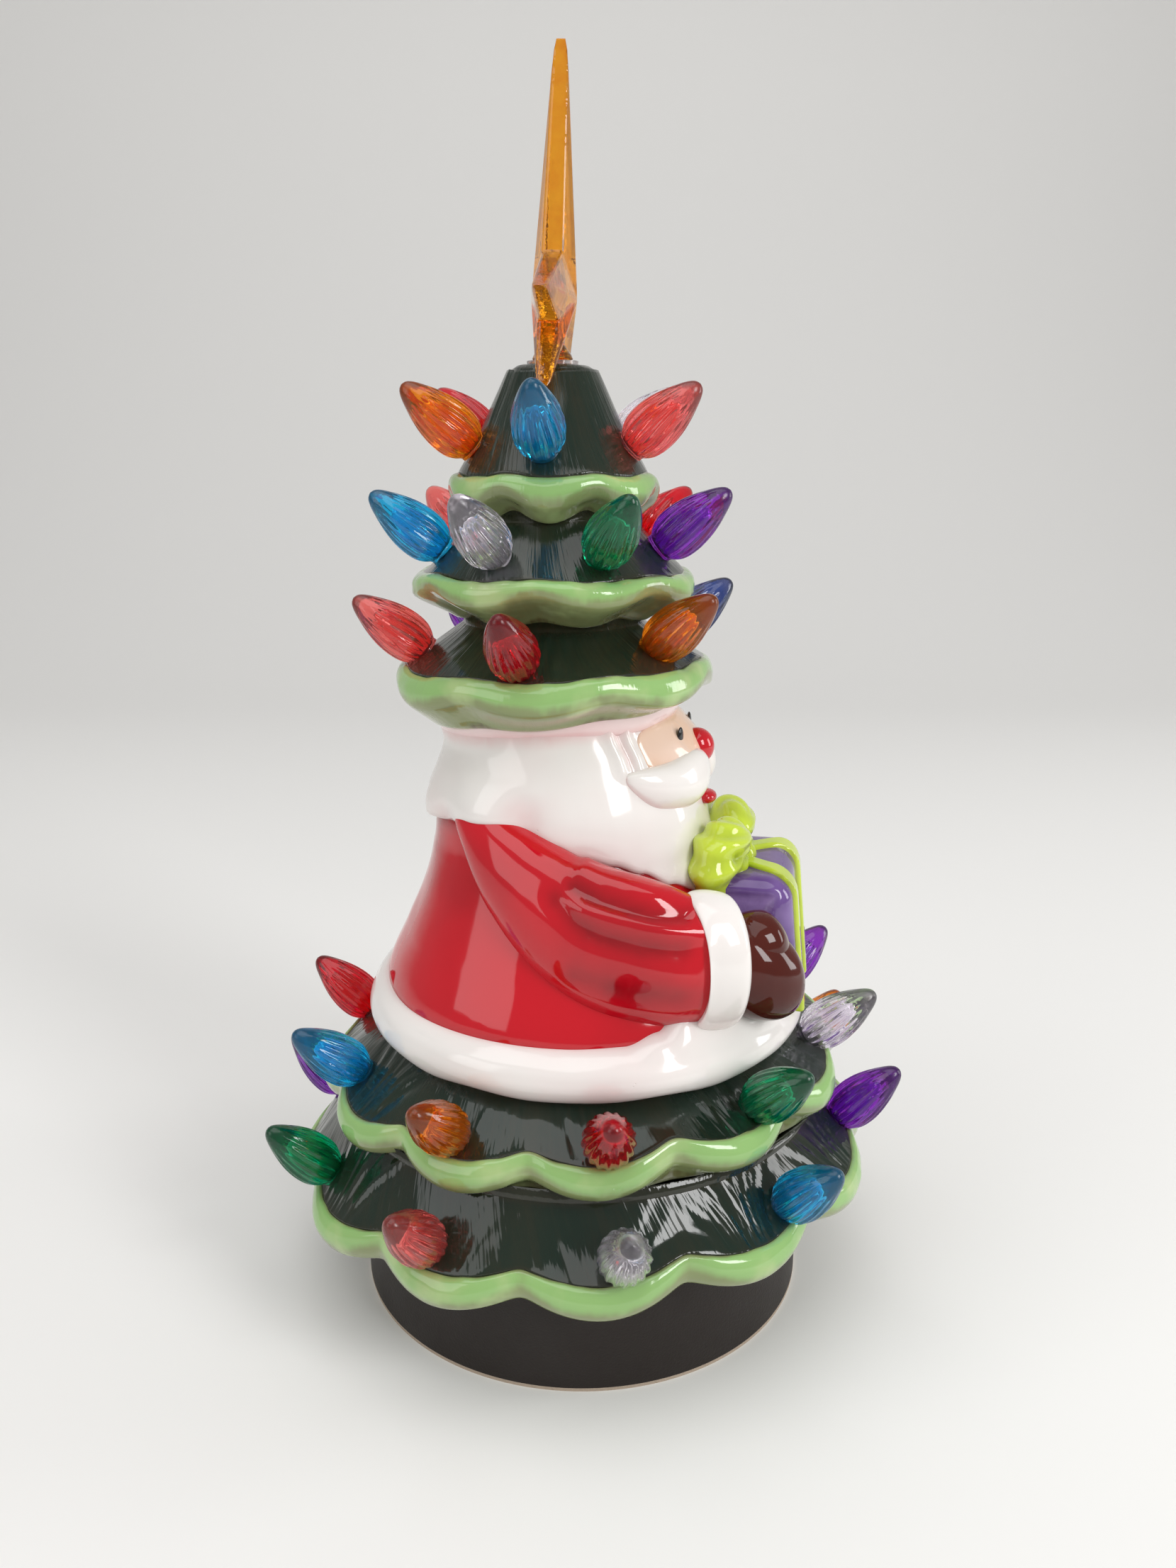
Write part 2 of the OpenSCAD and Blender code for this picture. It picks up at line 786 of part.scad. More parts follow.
module arm_side(side) {
    mirror([side == "right" ? 1 : 0, 0, 0])
        children();
}

module sleeve(side) {
    color("crimson")
        difference() {
            arm_side(side)
                swept_body(arm_path(sleeve_shares), arm_points);
            arm_side(side)
                swept_body(arm_path(cuff_shares), arm_points);
            coat_form();
            head_form();
            hem_form();
        }
}

module cuff(side) {
    color("snow")
        difference() {
            arm_side(side)
                swept_body(arm_path(cuff_shares), arm_points);
            coat_form();
            head_form();
            hem_form();
            gift_form();
        }
}

module mitten_form() {
    swept_body(arm_path(mitten_shares), arm_points);
    egg(coat_r * thumb_shares + [0, 0, coat_z], coat_r * thumb_half_shares);
}

module mitten(side) {
    color("saddlebrown")
        difference() {
            arm_side(side)
                mitten_form();
            arm_side(side)
                swept_body(arm_path(cuff_shares), arm_points);
            coat_form();
            hem_form();
            gift_form();
        }
}

// Gift: a box with soft corners, cut to the coat and the hem behind and under it
gift_round = 3.6;
gift_front_share = 0.98;
gift_front = -hem_r * gift_front_share;
gift_top = hem_z + gift_rise;
gift_under = hem_z + hem_h / 2;
ribbon_t = 1.2;
ribbon_spread_share = 0.24;
ribbon_spread = gift_w * ribbon_spread_share;
ribbon_reach_share = 0.62;
ribbon_reach = gift_d * ribbon_reach_share;
module rounded_block(low, high, r) {
    hull()
        for (x = [low[0] + r, high[0] - r], y = [low[1] + r, high[1] - r], z = [low[2] + r, high[2] - r])
            translate([x, y, z])
                sphere(r = r, $fn = 12);
}

module gift_form(grow = 0) {
    rounded_block(
        [-gift_w / 2 - grow, gift_front - grow, gift_under - grow],
        [gift_w / 2 + grow, gift_front + gift_d + grow, gift_top + grow],
        gift_round + grow
    );
}

module gift_box() {
    color("rebeccapurple")
        difference() {
            gift_form();
            coat_form();
            head_form();
            hem_form();
        }
}

// Two streamers from the knot over the front edge and down the front
module gift_ribbon() {
    color("yellowgreen")
        difference() {
            intersection() {
                gift_form(ribbon_t);
                for (side = [-1, 1])
                    translate([side * ribbon_spread - ribbon_w / 2, gift_front - 2 * ribbon_t, gift_under])
                        cube([ribbon_w, ribbon_reach, gift_rise]);
            }
            gift_form();
            hem_form();
            for (side = ["right", "left"])
                arm_side(side)
                    mitten_form();
        }
}

// The bow's knot and loops, with places as shares of the gift's depth or of their own half sizes
knot_half = [4.4, 4, 3.6];
knot_share = 0.6;
knot_y = gift_front + gift_d * knot_share;
knot_lift_share = 0.9;
loop_half = [13, 7.2, 10.4];
loop_place_shares = [0.95, 0.55, 0.6];
loop_turn = [0, 12, 14];
module bow_form() {
    egg([0, knot_y, gift_top + knot_half[2] * knot_lift_share], knot_half);
    for (side = [0, 1])
        mirror([side, 0, 0])
            egg([
                loop_half[0] * loop_place_shares[0],
                knot_y + loop_half[1] * loop_place_shares[1],
                gift_top + loop_half[2] * loop_place_shares[2]
            ], loop_half, loop_turn);
}

module gift_bow() {
    color("yellowgreen")
        difference() {
            bow_form();
            gift_form(ribbon_t);
            head_form();
            coat_form();
            moustache_form();
            for (side = ["right", "left"])
                arm_side(side)
                    swept_body(arm_path(cuff_shares), arm_points);
            mouth_form();
        }
}

// Base

plate_z = plate_lift;
plate_top = plate_z + plate_t;
plate_r = base_r - base_wall - gap;
lid_z = base_h - base_wall;
spigot_r = base_r - wall - gap;
boss_r = 3.6;
boss_gap = 1.2;
boss_place_r = plate_r - boss_r - boss_gap;
screws = 4;
screw_r = 1.4;
screw_head_r = 2.7;
screw_head_t = 1.8;
screw_l = 12;

// The tray's inside, from the cells that it holds
bay_x = cells * (cell_d + gap) + gap;
bay_play = 1;
bay_y = cell_l + spring_l + bay_play;
bay_h = cell_d + bay_play;
tray_wall = 1.6;
door_x = bay_x + 2 * tray_wall;
door_y = bay_y + 2 * tray_wall;
door_t = plate_t - 2 * gap;
hinge_r = 1.4;
hinge_pin_r = 0.8;
hinge_pin_l = 2;
// Room that the door's heel needs as it swings down
hinge_room = 3 * gap;
hinge_y = door_y / 2 + hinge_r;
hinge_z = plate_z + gap + hinge_r;
nail_notch_r = 8;

// The switch beside the tray
switch_inset = 14;
switch_x = -(door_x / 2 + switch_inset);
slider_l = 8;
slider_w = 4.4;
slider_h = 3;
nib_l = 4;
nib_w = 2.6;
nib_proud = 0.6;
nib_drop = plate_t + gap + nib_proud;
switch_wall = 1.4;

module at_screws() {
    for (k = [0:screws - 1])
        rotate(45 + 360 * k / screws)
            translate([boss_place_r, 0, 0])
                children();
}

module base_housing() {
    color("#2e1c18")
        difference() {
            union() {
                translate([0, 0, foot_h])
                    cylinder(r = base_r, h = base_h - foot_h);
                translate([0, 0, base_h])
                    cylinder(r = spigot_r, h = spigot_h);
            }
            difference() {
                translate([0, 0, foot_h - cut])
                    cylinder(r = base_r - base_wall, h = lid_z - foot_h + cut);
                at_screws()
                    translate([0, 0, plate_top])
                        cylinder(r = boss_r, h = base_h);
            }
            translate([0, 0, lid_z - cut])
                cylinder(r = cable_hole_r, h = base_h);
            translate([0, 0, base_h])
                cylinder(r = spigot_r - base_wall, h = spigot_h + cut);
            at_screws()
                translate([0, 0, plate_top - cut])
                    cylinder(r = screw_r, h = screw_l + cut);
        }
}

module foot_ring() {
    color("tan")
        difference() {
            cylinder(r = base_r, h = foot_h);
            translate([0, 0, -cut])
                cylinder(r = base_r - base_wall, h = foot_h + 2 * cut);
        }
}

module base_plate() {
    color("dimgray")
        difference() {
            translate([0, 0, plate_z])
                cylinder(r = plate_r, h = plate_t);
            translate([-door_x / 2 - gap, -door_y / 2 - gap, plate_z - cut])
                cube([door_x + 2 * gap, door_y + gap + 2 * hinge_r + hinge_room, plate_t + 2 * cut]);
            translate([-door_x / 2 - gap - hinge_pin_l - fit, hinge_y, hinge_z])
                rotate([0, 90, 0])
                    cylinder(r = hinge_pin_r + fit, h = door_x + 2 * (gap + hinge_pin_l + fit));
            translate([0, -door_y / 2, plate_z - cut])
                cylinder(r = nail_notch_r, h = cut + plate_t / 3);
            translate([switch_x - nib_w / 2 - gap, -nib_l / 2 - switch_travel - gap, plate_z - cut])
                cube([nib_w + 2 * gap, nib_l + 2 * (switch_travel + gap), plate_t + 2 * cut]);
            at_screws()
                translate([0, 0, plate_z - cut]) {
                    cylinder(r = screw_r + gap, h = plate_t + 2 * cut);
                    cylinder(r = screw_head_r + gap, h = cut + screw_head_t);
                }
        }
}

module case_screws() {
    color("silver")
        at_screws() {
            translate([0, 0, plate_z])
                cylinder(r = screw_head_r, h = screw_head_t);
            translate([0, 0, plate_z])
                cylinder(r = screw_r - fit, h = screw_l);
        }
}

module battery_tray() {
    color("dimgray")
        difference() {
            translate([-door_x / 2, -door_y / 2, plate_top])
                cube([door_x, door_y, bay_h + tray_wall]);
            translate([-bay_x / 2, -bay_y / 2, plate_top - cut])
                cube([bay_x, bay_y, bay_h + cut]);
        }
}

module battery_door() {
    color("dimgray")
        difference() {
            union() {
                translate([-door_x / 2, -door_y / 2, plate_z + gap])
                    cube([door_x, door_y + hinge_r, door_t]);
                translate([-door_x / 2, hinge_y, hinge_z])
                    rotate([0, 90, 0])
                        cylinder(r = hinge_r, h = door_x);
                translate([-door_x / 2 - gap - hinge_pin_l, hinge_y, hinge_z])
                    rotate([0, 90, 0])
                        cylinder(r = hinge_pin_r, h = door_x + 2 * (gap + hinge_pin_l));
            }
            translate([0, -door_y / 2, plate_z])
                cylinder(r = nail_notch_r, h = plate_t / 3);
        }
}

// Where each cell lies, and which way it points
module at_cells() {
    for (k = [0:cells - 1])
        translate([(k - (cells - 1) / 2) * (cell_d + gap), 0, plate_top + cell_d / 2])
            rotate([0, 0, 180 * (k % 2)])
                children();
}

cell_nub_r = 2.7;
cell_nub_h = 1;
module battery_cells() {
    color("goldenrod")
        at_cells()
            rotate([90, 0, 0]) {
                translate([0, 0, -cell_l / 2])
                    cylinder(d = cell_d, h = cell_l - cell_nub_h);
                translate([0, 0, -cell_l / 2])
                    cylinder(r = cell_nub_r, h = cell_l);
            }
}

contact_t = 0.5;
contact_w = 10;
module battery_contacts() {
    color("silver")
        at_cells()
            for (side = [-1, 1])
                translate([-contact_w / 2, side * (bay_y - contact_t) / 2 - contact_t / 2, -contact_w / 2])
                    cube([contact_w, contact_t, contact_w]);
}

// A spring is a tapered winding, kept as the sleeve that it fills
spring_r = [4.2, 2.6];
spring_wire = 0.7;
module battery_springs() {
    room = (bay_y - cell_l) / 2 - contact_t;
    color("silver")
        at_cells()
            translate([0, cell_l / 2, 0])
                rotate([-90, 0, 0])
                    rotate_extrude()
                        polygon([
                            [spring_r[1] - spring_wire, 0], [spring_r[1], 0],
                            [spring_r[0], room], [spring_r[0] - spring_wire, room]
                        ]);
}

board_size = [16, 38, 1.6];
board_inset = 5;
board_x = door_x / 2 + board_inset;
standoff_h = 4;
board_z = plate_top + standoff_h;
chip_size = [6, 9, 1.4];
standoff_r = 2.2;
standoff_share = 0.38;
module circuit_board() {
    color("darkgreen")
        translate([board_x, -board_size[1] / 2, board_z])
            cube(board_size);
    color("darkgreen")
        for (y = [-1, 1])
            translate([board_x + board_size[0] / 2, y * board_size[1] * standoff_share, plate_top])
                cylinder(r = standoff_r, h = standoff_h);
}

module timer_chip() {
    color("black")
        translate([board_x + (board_size[0] - chip_size[0]) / 2, -chip_size[1] / 2, board_z + board_size[2]])
            cube(chip_size);
}

slider_room = [slider_w + 2 * gap, slider_l + 2 * (switch_travel + gap), slider_h + 2 * gap];
module switch_body() {
    outer = [slider_room[0] + 2 * switch_wall, slider_room[1] + 2 * switch_wall, slider_room[2] + switch_wall];
    color("gray")
        difference() {
            translate([switch_x - outer[0] / 2, -outer[1] / 2, plate_top])
                cube(outer);
            translate([switch_x - slider_room[0] / 2, -slider_room[1] / 2, plate_top - cut])
                cube(slider_room + [0, 0, cut]);
        }
}

module switch_slider() {
    color("white") {
        translate([switch_x - slider_w / 2, -slider_l / 2, plate_top + gap])
            cube([slider_w, slider_l, slider_h]);
        translate([switch_x - nib_w / 2, -nib_l / 2, plate_top + gap - nib_drop])
            cube([nib_w, nib_l, nib_drop]);
    }
}

// The light mast: a standing strip of board with lamps on both faces
mast_size = [10, 1.6, 158];
mast_y = 2;
holder_size = [18, 10, 8];
cable_hole_r = 4;
lamp_size = [5, 1.9, 5];
lamps = 5;
lamp_place_share = 0.6;
module mast_holder() {
    color("white")
        difference() {
            translate([-holder_size[0] / 2, mast_y - holder_size[1] / 2, base_h])
                cube(holder_size);
            translate([-mast_size[0] / 2, mast_y - mast_size[1] / 2, base_h - cut])
                cube([mast_size[0], mast_size[1], holder_size[2] + 2 * cut]);
            translate([0, 0, base_h - cut])
                cylinder(r = cable_hole_r / 2, h = 2 * cut);
        }
}

module light_mast() {
    color("darkgreen")
        translate([-mast_size[0] / 2, mast_y - mast_size[1] / 2, base_h])
            cube(mast_size);
}

module mast_leds() {
    step = (mast_size[2] - holder_size[2]) / lamps;
    color("khaki")
        for (k = [0:lamps - 1], side = [-1, 1])
            translate([
                -lamp_size[0] / 2,
                mast_y + side * (mast_size[1] + lamp_size[1]) / 2 - lamp_size[1] / 2,
                base_h + holder_size[2] + step * (k + lamp_place_share)
            ])
                cube(lamp_size);
}

// Two wires rise from the board, run under the lid and go up through it to the mast
wire_r = 0.8;
wire_inset = 3;
module lead_wires() {
    from_x = board_x + wire_inset;
    from_z = board_z + board_size[2];
    run_z = lid_z - wire_inset;
    color("red")
        for (side = [-1, 1])
            translate([0, side * 2 * wire_r, 0]) {
                translate([from_x, 0, from_z])
                    cylinder(r = wire_r, h = run_z - from_z);
                translate([0, 0, run_z])
                    rotate([0, 90, 0])
                        cylinder(r = wire_r, h = from_x);
                translate([0, 0, run_z])
                    cylinder(r = wire_r, h = base_h - run_z);
                for (x = [0, from_x])
                    translate([x, 0, run_z])
                        sphere(r = wire_r);
            }
}

tier_shell(0);  // tier_1_shell
tier_shell(1);  // tier_2_shell
tier_shell(2);  // tier_3_shell
tier_shell(3);  // tier_4_shell
tier_shell(4);  // tier_5_shell
tier_rim(0);  // tier_1_rim
tier_rim(1);  // tier_2_rim
tier_rim(2);  // tier_3_rim
tier_rim(3);  // tier_4_rim
tier_rim(4);  // tier_5_rim
head_shell();
hat_band();
face();
eyes();
nose();
moustache();
mouth();
coat_shell();
coat_hem();
sleeve("right");  // sleeve_right
sleeve("left");  // sleeve_left
cuff("right");  // cuff_right
cuff("left");  // cuff_left
mitten("right");  // mitten_right
mitten("left");  // mitten_left
gift_box();
gift_ribbon();
gift_bow();
star_topper();
star_socket();
bulbs_red();
bulbs_amber();
bulbs_coral();
bulbs_blue();
bulbs_navy();
bulbs_green();
bulbs_purple();
bulbs_clear();
base_housing();
base_plate();
foot_ring();
case_screws();
battery_tray();
battery_door();
battery_cells();
battery_springs();
battery_contacts();
circuit_board();
timer_chip();
switch_body();
switch_slider();
mast_holder();
light_mast();
mast_leds();
lead_wires();
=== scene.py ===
# %% [markdown]
# # A battery lit ceramic tree
#
# The real object is a hollow slip-cast tree. It is glazed in sections: near-black green slopes with light
# green rolled rims, and between them a seated figure in a glossy red coat. Translucent plastic bulbs stand in
# holes of the ceramic, an amber star stands in the crown, and everything sits on a satin brown drum.
#
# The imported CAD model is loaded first. It gives every place and size, so nothing below is fitted by eye to
# the frame: a piece that is modelled here takes its place from the same driving dimensions.

# %% Load the frame
import json
import math
import bmesh
import bpy
from mathutils import Matrix, Vector, noise


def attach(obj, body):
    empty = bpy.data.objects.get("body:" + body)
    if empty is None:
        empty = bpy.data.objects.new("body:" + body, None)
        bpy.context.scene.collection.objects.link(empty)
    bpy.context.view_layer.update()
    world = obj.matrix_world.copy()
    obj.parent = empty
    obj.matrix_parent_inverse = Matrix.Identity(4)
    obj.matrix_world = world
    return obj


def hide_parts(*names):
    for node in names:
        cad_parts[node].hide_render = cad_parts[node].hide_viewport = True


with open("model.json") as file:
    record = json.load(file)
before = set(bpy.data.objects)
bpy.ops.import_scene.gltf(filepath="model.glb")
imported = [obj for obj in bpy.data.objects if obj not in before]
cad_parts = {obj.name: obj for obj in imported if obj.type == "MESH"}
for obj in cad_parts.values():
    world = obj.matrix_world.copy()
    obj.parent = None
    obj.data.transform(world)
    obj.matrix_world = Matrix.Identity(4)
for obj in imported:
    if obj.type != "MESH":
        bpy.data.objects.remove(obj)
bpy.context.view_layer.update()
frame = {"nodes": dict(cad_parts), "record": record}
slot_of = {part["node"]: part["material_slot"] for part in frame["record"]["subparts"]}
tint_of = {finish["slot"]: finish["base_color"][:3] for finish in frame["record"]["materials"]}
body_of = {node: body for body, nodes in frame["record"]["behaviour"]["bodies"].items() for node in nodes}
MM = 0.001

# %% [markdown]
# ## The camera
#
# The photograph was taken by hand from the figure's right side, a little in front of it and just under the
# height of the star's foot. A camera can be set by dragging it until the picture looks right, but a solved
# one can be checked: its height, distance and pitch follow from the round drum, the hem and the tiers.

# %% Camera
IMAGE_H = 2212
FOCAL_PX = 1758.4
AXIS_OFFSET_PX = 8.5
CAMERA_TURN = math.radians(11)
CAMERA_PITCH = math.radians(14.93)
CAMERA_AWAY = 323.7 * MM
CAMERA_UP = 226.8 * MM
SENSOR_MM = 24

lens = bpy.data.cameras.new("photo_camera")
lens.sensor_fit = "VERTICAL"
lens.sensor_height = SENSOR_MM
lens.lens = SENSOR_MM * FOCAL_PX / IMAGE_H
lens.shift_x = AXIS_OFFSET_PX / IMAGE_H
lens.clip_start = 0.01
camera = bpy.data.objects.new("photo_camera", lens)
bpy.context.scene.collection.objects.link(camera)
aim = Vector((
    math.cos(CAMERA_TURN) * math.cos(CAMERA_PITCH),
    math.sin(CAMERA_TURN) * math.cos(CAMERA_PITCH),
    -math.sin(CAMERA_PITCH),
))
camera.location = (
    -CAMERA_AWAY * math.cos(CAMERA_TURN), -CAMERA_AWAY * math.sin(CAMERA_TURN), CAMERA_UP
)
camera.rotation_euler = aim.to_track_quat("-Z", "Y").to_euler()
bpy.context.scene.camera = camera
bpy.context.scene.view_settings.view_transform = "Standard"
print("lens in mm:", round(lens.lens, 2))

# %% [markdown]
# ## Floor, backdrop and light
#
# Glaze shows its surroundings, so the surroundings are part of the finish: a pale sweep gives the dark glaze
# its soft grey sheen, and two window-shaped lamps on the figure's side give the long white streaks. A bare
# point lamp would leave only hot dots.

# %% Stage
SWEEP_NEAR = -2.6
SWEEP_FAR = 1.5
SWEEP_UP = 2.4
SWEEP_ROUND = 0.7
SWEEP_HALF = 3.0
SWEEP_STEPS = 16
SWEEP_COLOUR = (0.88, 0.875, 0.86, 1)
ROOM_COLOUR, ROOM_LIGHT = (1, 0.985, 0.97, 1), 0.34


def stage_sweep():
    """A floor that bends up into a backdrop: one edge is extruded along the bend."""
    bm = bmesh.new()
    path = [(SWEEP_NEAR, 0), (SWEEP_FAR - SWEEP_ROUND, 0)]
    for k in range(1, SWEEP_STEPS + 1):
        turn = math.pi / 2 * k / SWEEP_STEPS
        path.append((
            SWEEP_FAR - SWEEP_ROUND + SWEEP_ROUND * math.sin(turn), SWEEP_ROUND * (1 - math.cos(turn))
        ))
    path.append((SWEEP_FAR, SWEEP_UP))
    ends = [bm.verts.new((path[0][0], side * SWEEP_HALF, path[0][1])) for side in (-1, 1)]
    edge = bm.edges.new(ends)
    for (x, z), (was_x, was_z) in zip(path[1:], path):
        grown = bmesh.ops.extrude_edge_only(bm, edges=[edge])["geom"]
        new_verts = [item for item in grown if isinstance(item, bmesh.types.BMVert)]
        edge = next(item for item in grown if isinstance(item, bmesh.types.BMEdge))
        bmesh.ops.translate(bm, verts=new_verts, vec=(x - was_x, 0, z - was_z))
    bmesh.ops.rotate(bm, verts=bm.verts, matrix=Matrix.Rotation(CAMERA_TURN, 3, "Z"))
    bmesh.ops.recalc_face_normals(bm, faces=bm.faces)
    mesh = bpy.data.meshes.new("sweep")
    bm.to_mesh(mesh)
    bm.free()
    mesh.shade_smooth()
    paint = bpy.data.materials.new("sweep_paint")
    paint.use_nodes = True
    shader = paint.node_tree.nodes["Principled BSDF"]
    shader.inputs["Base Color"].default_value = SWEEP_COLOUR
    shader.inputs["Roughness"].default_value = 0.9
    shader.inputs["Specular IOR Level"].default_value = 0.2
    mesh.materials.append(paint)
    sweep = bpy.data.objects.new("sweep", mesh)
    bpy.context.scene.collection.objects.link(sweep)


def soft_lamp(name, place, target, size, power):
    """A rectangular softbox at a place, turned to its target."""
    lamp = bpy.data.lights.new(name, "AREA")
    lamp.shape = "RECTANGLE"
    lamp.size, lamp.size_y = size
    lamp.energy = power
    holder = bpy.data.objects.new(name, lamp)
    holder.location = place
    holder.rotation_euler = (Vector(target) - Vector(place)).to_track_quat("-Z", "Y").to_euler()
    bpy.context.scene.collection.objects.link(holder)


stage_sweep()
soft_lamp("window_right", (-0.62, -0.95, 0.78), (0, 0, 0.16), (0.34, 0.62), 7)
soft_lamp("window_side", (0.34, -1.15, 0.42), (0, 0, 0.10), (0.30, 0.60), 3.2)
soft_lamp("overhead", (-0.25, 0.15, 1.35), (0, 0, 0.15), (1.3, 1.3), 8.5)
soft_lamp("fill_left", (-0.95, 1.0, 0.65), (0, 0, 0.15), (0.9, 0.9), 4)
world = bpy.data.worlds.new("room")
bpy.context.scene.world = world
world.use_nodes = True
background = world.node_tree.nodes["Background"]
background.inputs["Color"].default_value = ROOM_COLOUR
background.inputs["Strength"].default_value = ROOM_LIGHT

# %% [markdown]
# ## Shader groups
#
# Glaze, plastic and metal here share a few effects. Each effect is a node group with named inputs, built once
# and placed in each material with its own values, the way that a potter mixes a few stains into every glaze.

# %% Node helpers
def node(tree, kind, inputs=None, **settings):
    """Adds a shader node. A socket given as an input is linked, any other value is set."""
    made = tree.nodes.new("ShaderNode" + kind)
    for key, value in settings.items():
        setattr(made, key, value)
    for key, value in (inputs or {}).items():
        if isinstance(value, bpy.types.NodeSocket):
            tree.links.new(value, made.inputs[key])
        else:
            made.inputs[key].default_value = value
    return made


def math_node(tree, operation, *values, clamp=False):
    return node(tree, "Math", dict(enumerate(values)), operation=operation, use_clamp=clamp).outputs[0]


def times(tree, *values, clamp=False):
    return math_node(tree, "MULTIPLY", *values, clamp=clamp)


def plus(tree, *values, clamp=False):
    return math_node(tree, "ADD", *values, clamp=clamp)


def blend(tree, factor, first, second, how="MIX"):
    """Mixes two colours. Sockets 6 and 7 of a Mix node are its colours, and output 2 its result."""
    made = node(tree, "Mix", {0: factor, 6: first, 7: second}, data_type="RGBA", blend_type=how)
    return made.outputs[2]


def ramp(tree, value, low, high):
    """0 below low, 1 above high, and a soft step between them."""
    made = node(
        tree, "MapRange", {"Value": value, "From Min": low, "From Max": high}, interpolation_type="SMOOTHSTEP"
    )
    return made.outputs["Result"]


def object_point(tree):
    return node(tree, "TexCoord").outputs["Object"]


def noise_at(tree, point, scale, detail=2.0, roughness=0.5, distortion=0.0):
    made = node(tree, "TexNoise", {
        "Vector": point, "Scale": scale, "Detail": detail, "Roughness": roughness, "Distortion": distortion
    })
    return made.outputs["Fac"]


def effect(name, inputs, outputs):
    """An empty node group with its sockets: (group, its inputs, its outputs)."""
    tree = bpy.data.node_groups.new(name, "ShaderNodeTree")
    for label, value in inputs.items():
        kind = "NodeSocketColor" if isinstance(value, tuple) else "NodeSocketFloat"
        tree.interface.new_socket(label, in_out="INPUT", socket_type=kind).default_value = value
    for label, kind in outputs.items():
        tree.interface.new_socket(label, in_out="OUTPUT", socket_type="NodeSocket" + kind)
    return tree, tree.nodes.new("NodeGroupInput").outputs, tree.nodes.new("NodeGroupOutput").inputs


def use(tree, group, **inputs):
    """Places an effect in a material. Underscores in the names stand for spaces."""
    made = node(tree, "Group", node_tree=group)
    for key, value in inputs.items():
        socket = made.inputs[key.replace("_", " ")]
        if isinstance(value, bpy.types.NodeSocket):
            tree.links.new(value, socket)
        else:
            socket.default_value = value
    return made.outputs


def wash_and_shading(tree):
    """The wash that the modelling steps store on each vertex, 0 for full glaze. It is high where the glaze is
    thin and where plastic is frosted. On the figure and the bow it is painted shade in the creases and
    undersides. On the rims it is painted light: high on top and low in the painted shade below.
    """
    return node(tree, "Attribute", attribute_name="wash_and_shading").outputs["Fac"]


# %% [markdown]
# ### Glaze colour
#
# A glaze is brushed on by hand. It lies thinner over edges, where the clay or a browner tone comes through,
# and it clouds slowly from brush to brush. A picture of glaze would slide on the shape, so three noises do
# it.

# %% Glaze colour
def make_glaze_colour():
    tree, given, out = effect("glaze_colour", {
        "Full": (0.5, 0.5, 0.5, 1), "Thin": (0.3, 0.2, 0.1, 1), "Wash": 0.0, "Clouding": 0.3, "Size": 40.0
    }, {"Colour": "Color", "Thinness": "Float"})
    point = object_point(tree)
    clouds = noise_at(tree, point, given["Size"], 3)
    brush = noise_at(tree, point, times(tree, given["Size"], 6.0), 2, 0.6, 0.4)
    mottled = times(tree, ramp(tree, clouds, 0.42, 0.72), given["Clouding"])
    # Where the wash is high the colour goes towards Thin. On the slopes that is thin glaze, but on the figure,
    # the mittens and the bow it is painted shade in creases and undersides.
    worn_and_shaded = times(tree, given["Wash"], plus(tree, brush, 0.45))
    thin_and_shaded = plus(tree, mottled, worn_and_shaded, clamp=True)
    tree.links.new(blend(tree, thin_and_shaded, given["Full"], given["Thin"]), out["Colour"])
    tree.links.new(thin_and_shaded, out["Thinness"])
    return tree


glaze_colour = make_glaze_colour()

# %% [markdown]
# ### Glaze surface
#
# Glaze melts into long soft ripples and closes over a few pinholes. The ripples bend reflections, and that
# is what tells the eye that a gloss is fired glass and not paint. The height goes to a Bump node in each
# material.

# %% Glaze surface
def make_glaze_surface():
    tree, given, out = effect("glaze_surface", {
        "Ripple": 55.0, "Pinholes": 0.3
    }, {"Height": "Float", "Roughness": "Float"})
    point = object_point(tree)
    ripple = noise_at(tree, point, given["Ripple"], 2, 0.4, 0.3)
    cells = node(tree, "TexVoronoi", {"Vector": point, "Scale": 260.0})
    holes = ramp(tree, cells.outputs["Distance"], 0.0, 0.085)
    rare = ramp(tree, noise_at(tree, point, 70.0, 1), 0.62, 0.66)
    pits = times(tree, math_node(tree, "SUBTRACT", holes, 1.0), rare)
    pits = times(tree, pits, given["Pinholes"])
    tree.links.new(plus(tree, ripple, pits), out["Height"])
    smudge = noise_at(tree, point, 28.0, 4, 0.65)
    tree.links.new(times(tree, ramp(tree, smudge, 0.45, 0.8), 0.05), out["Roughness"])
    return tree


glaze_surface = make_glaze_surface()

# %% [markdown]
# ### Combed strokes
#
# The needles were combed into the model with a stiff brush before the mould was made. The strokes run down
# each tier, so the pattern must turn with the tier's own axis. Scaling the direction from the axis by the
# number of strokes gives a noise that is fine round the tier and long down it, and it closes without a seam.

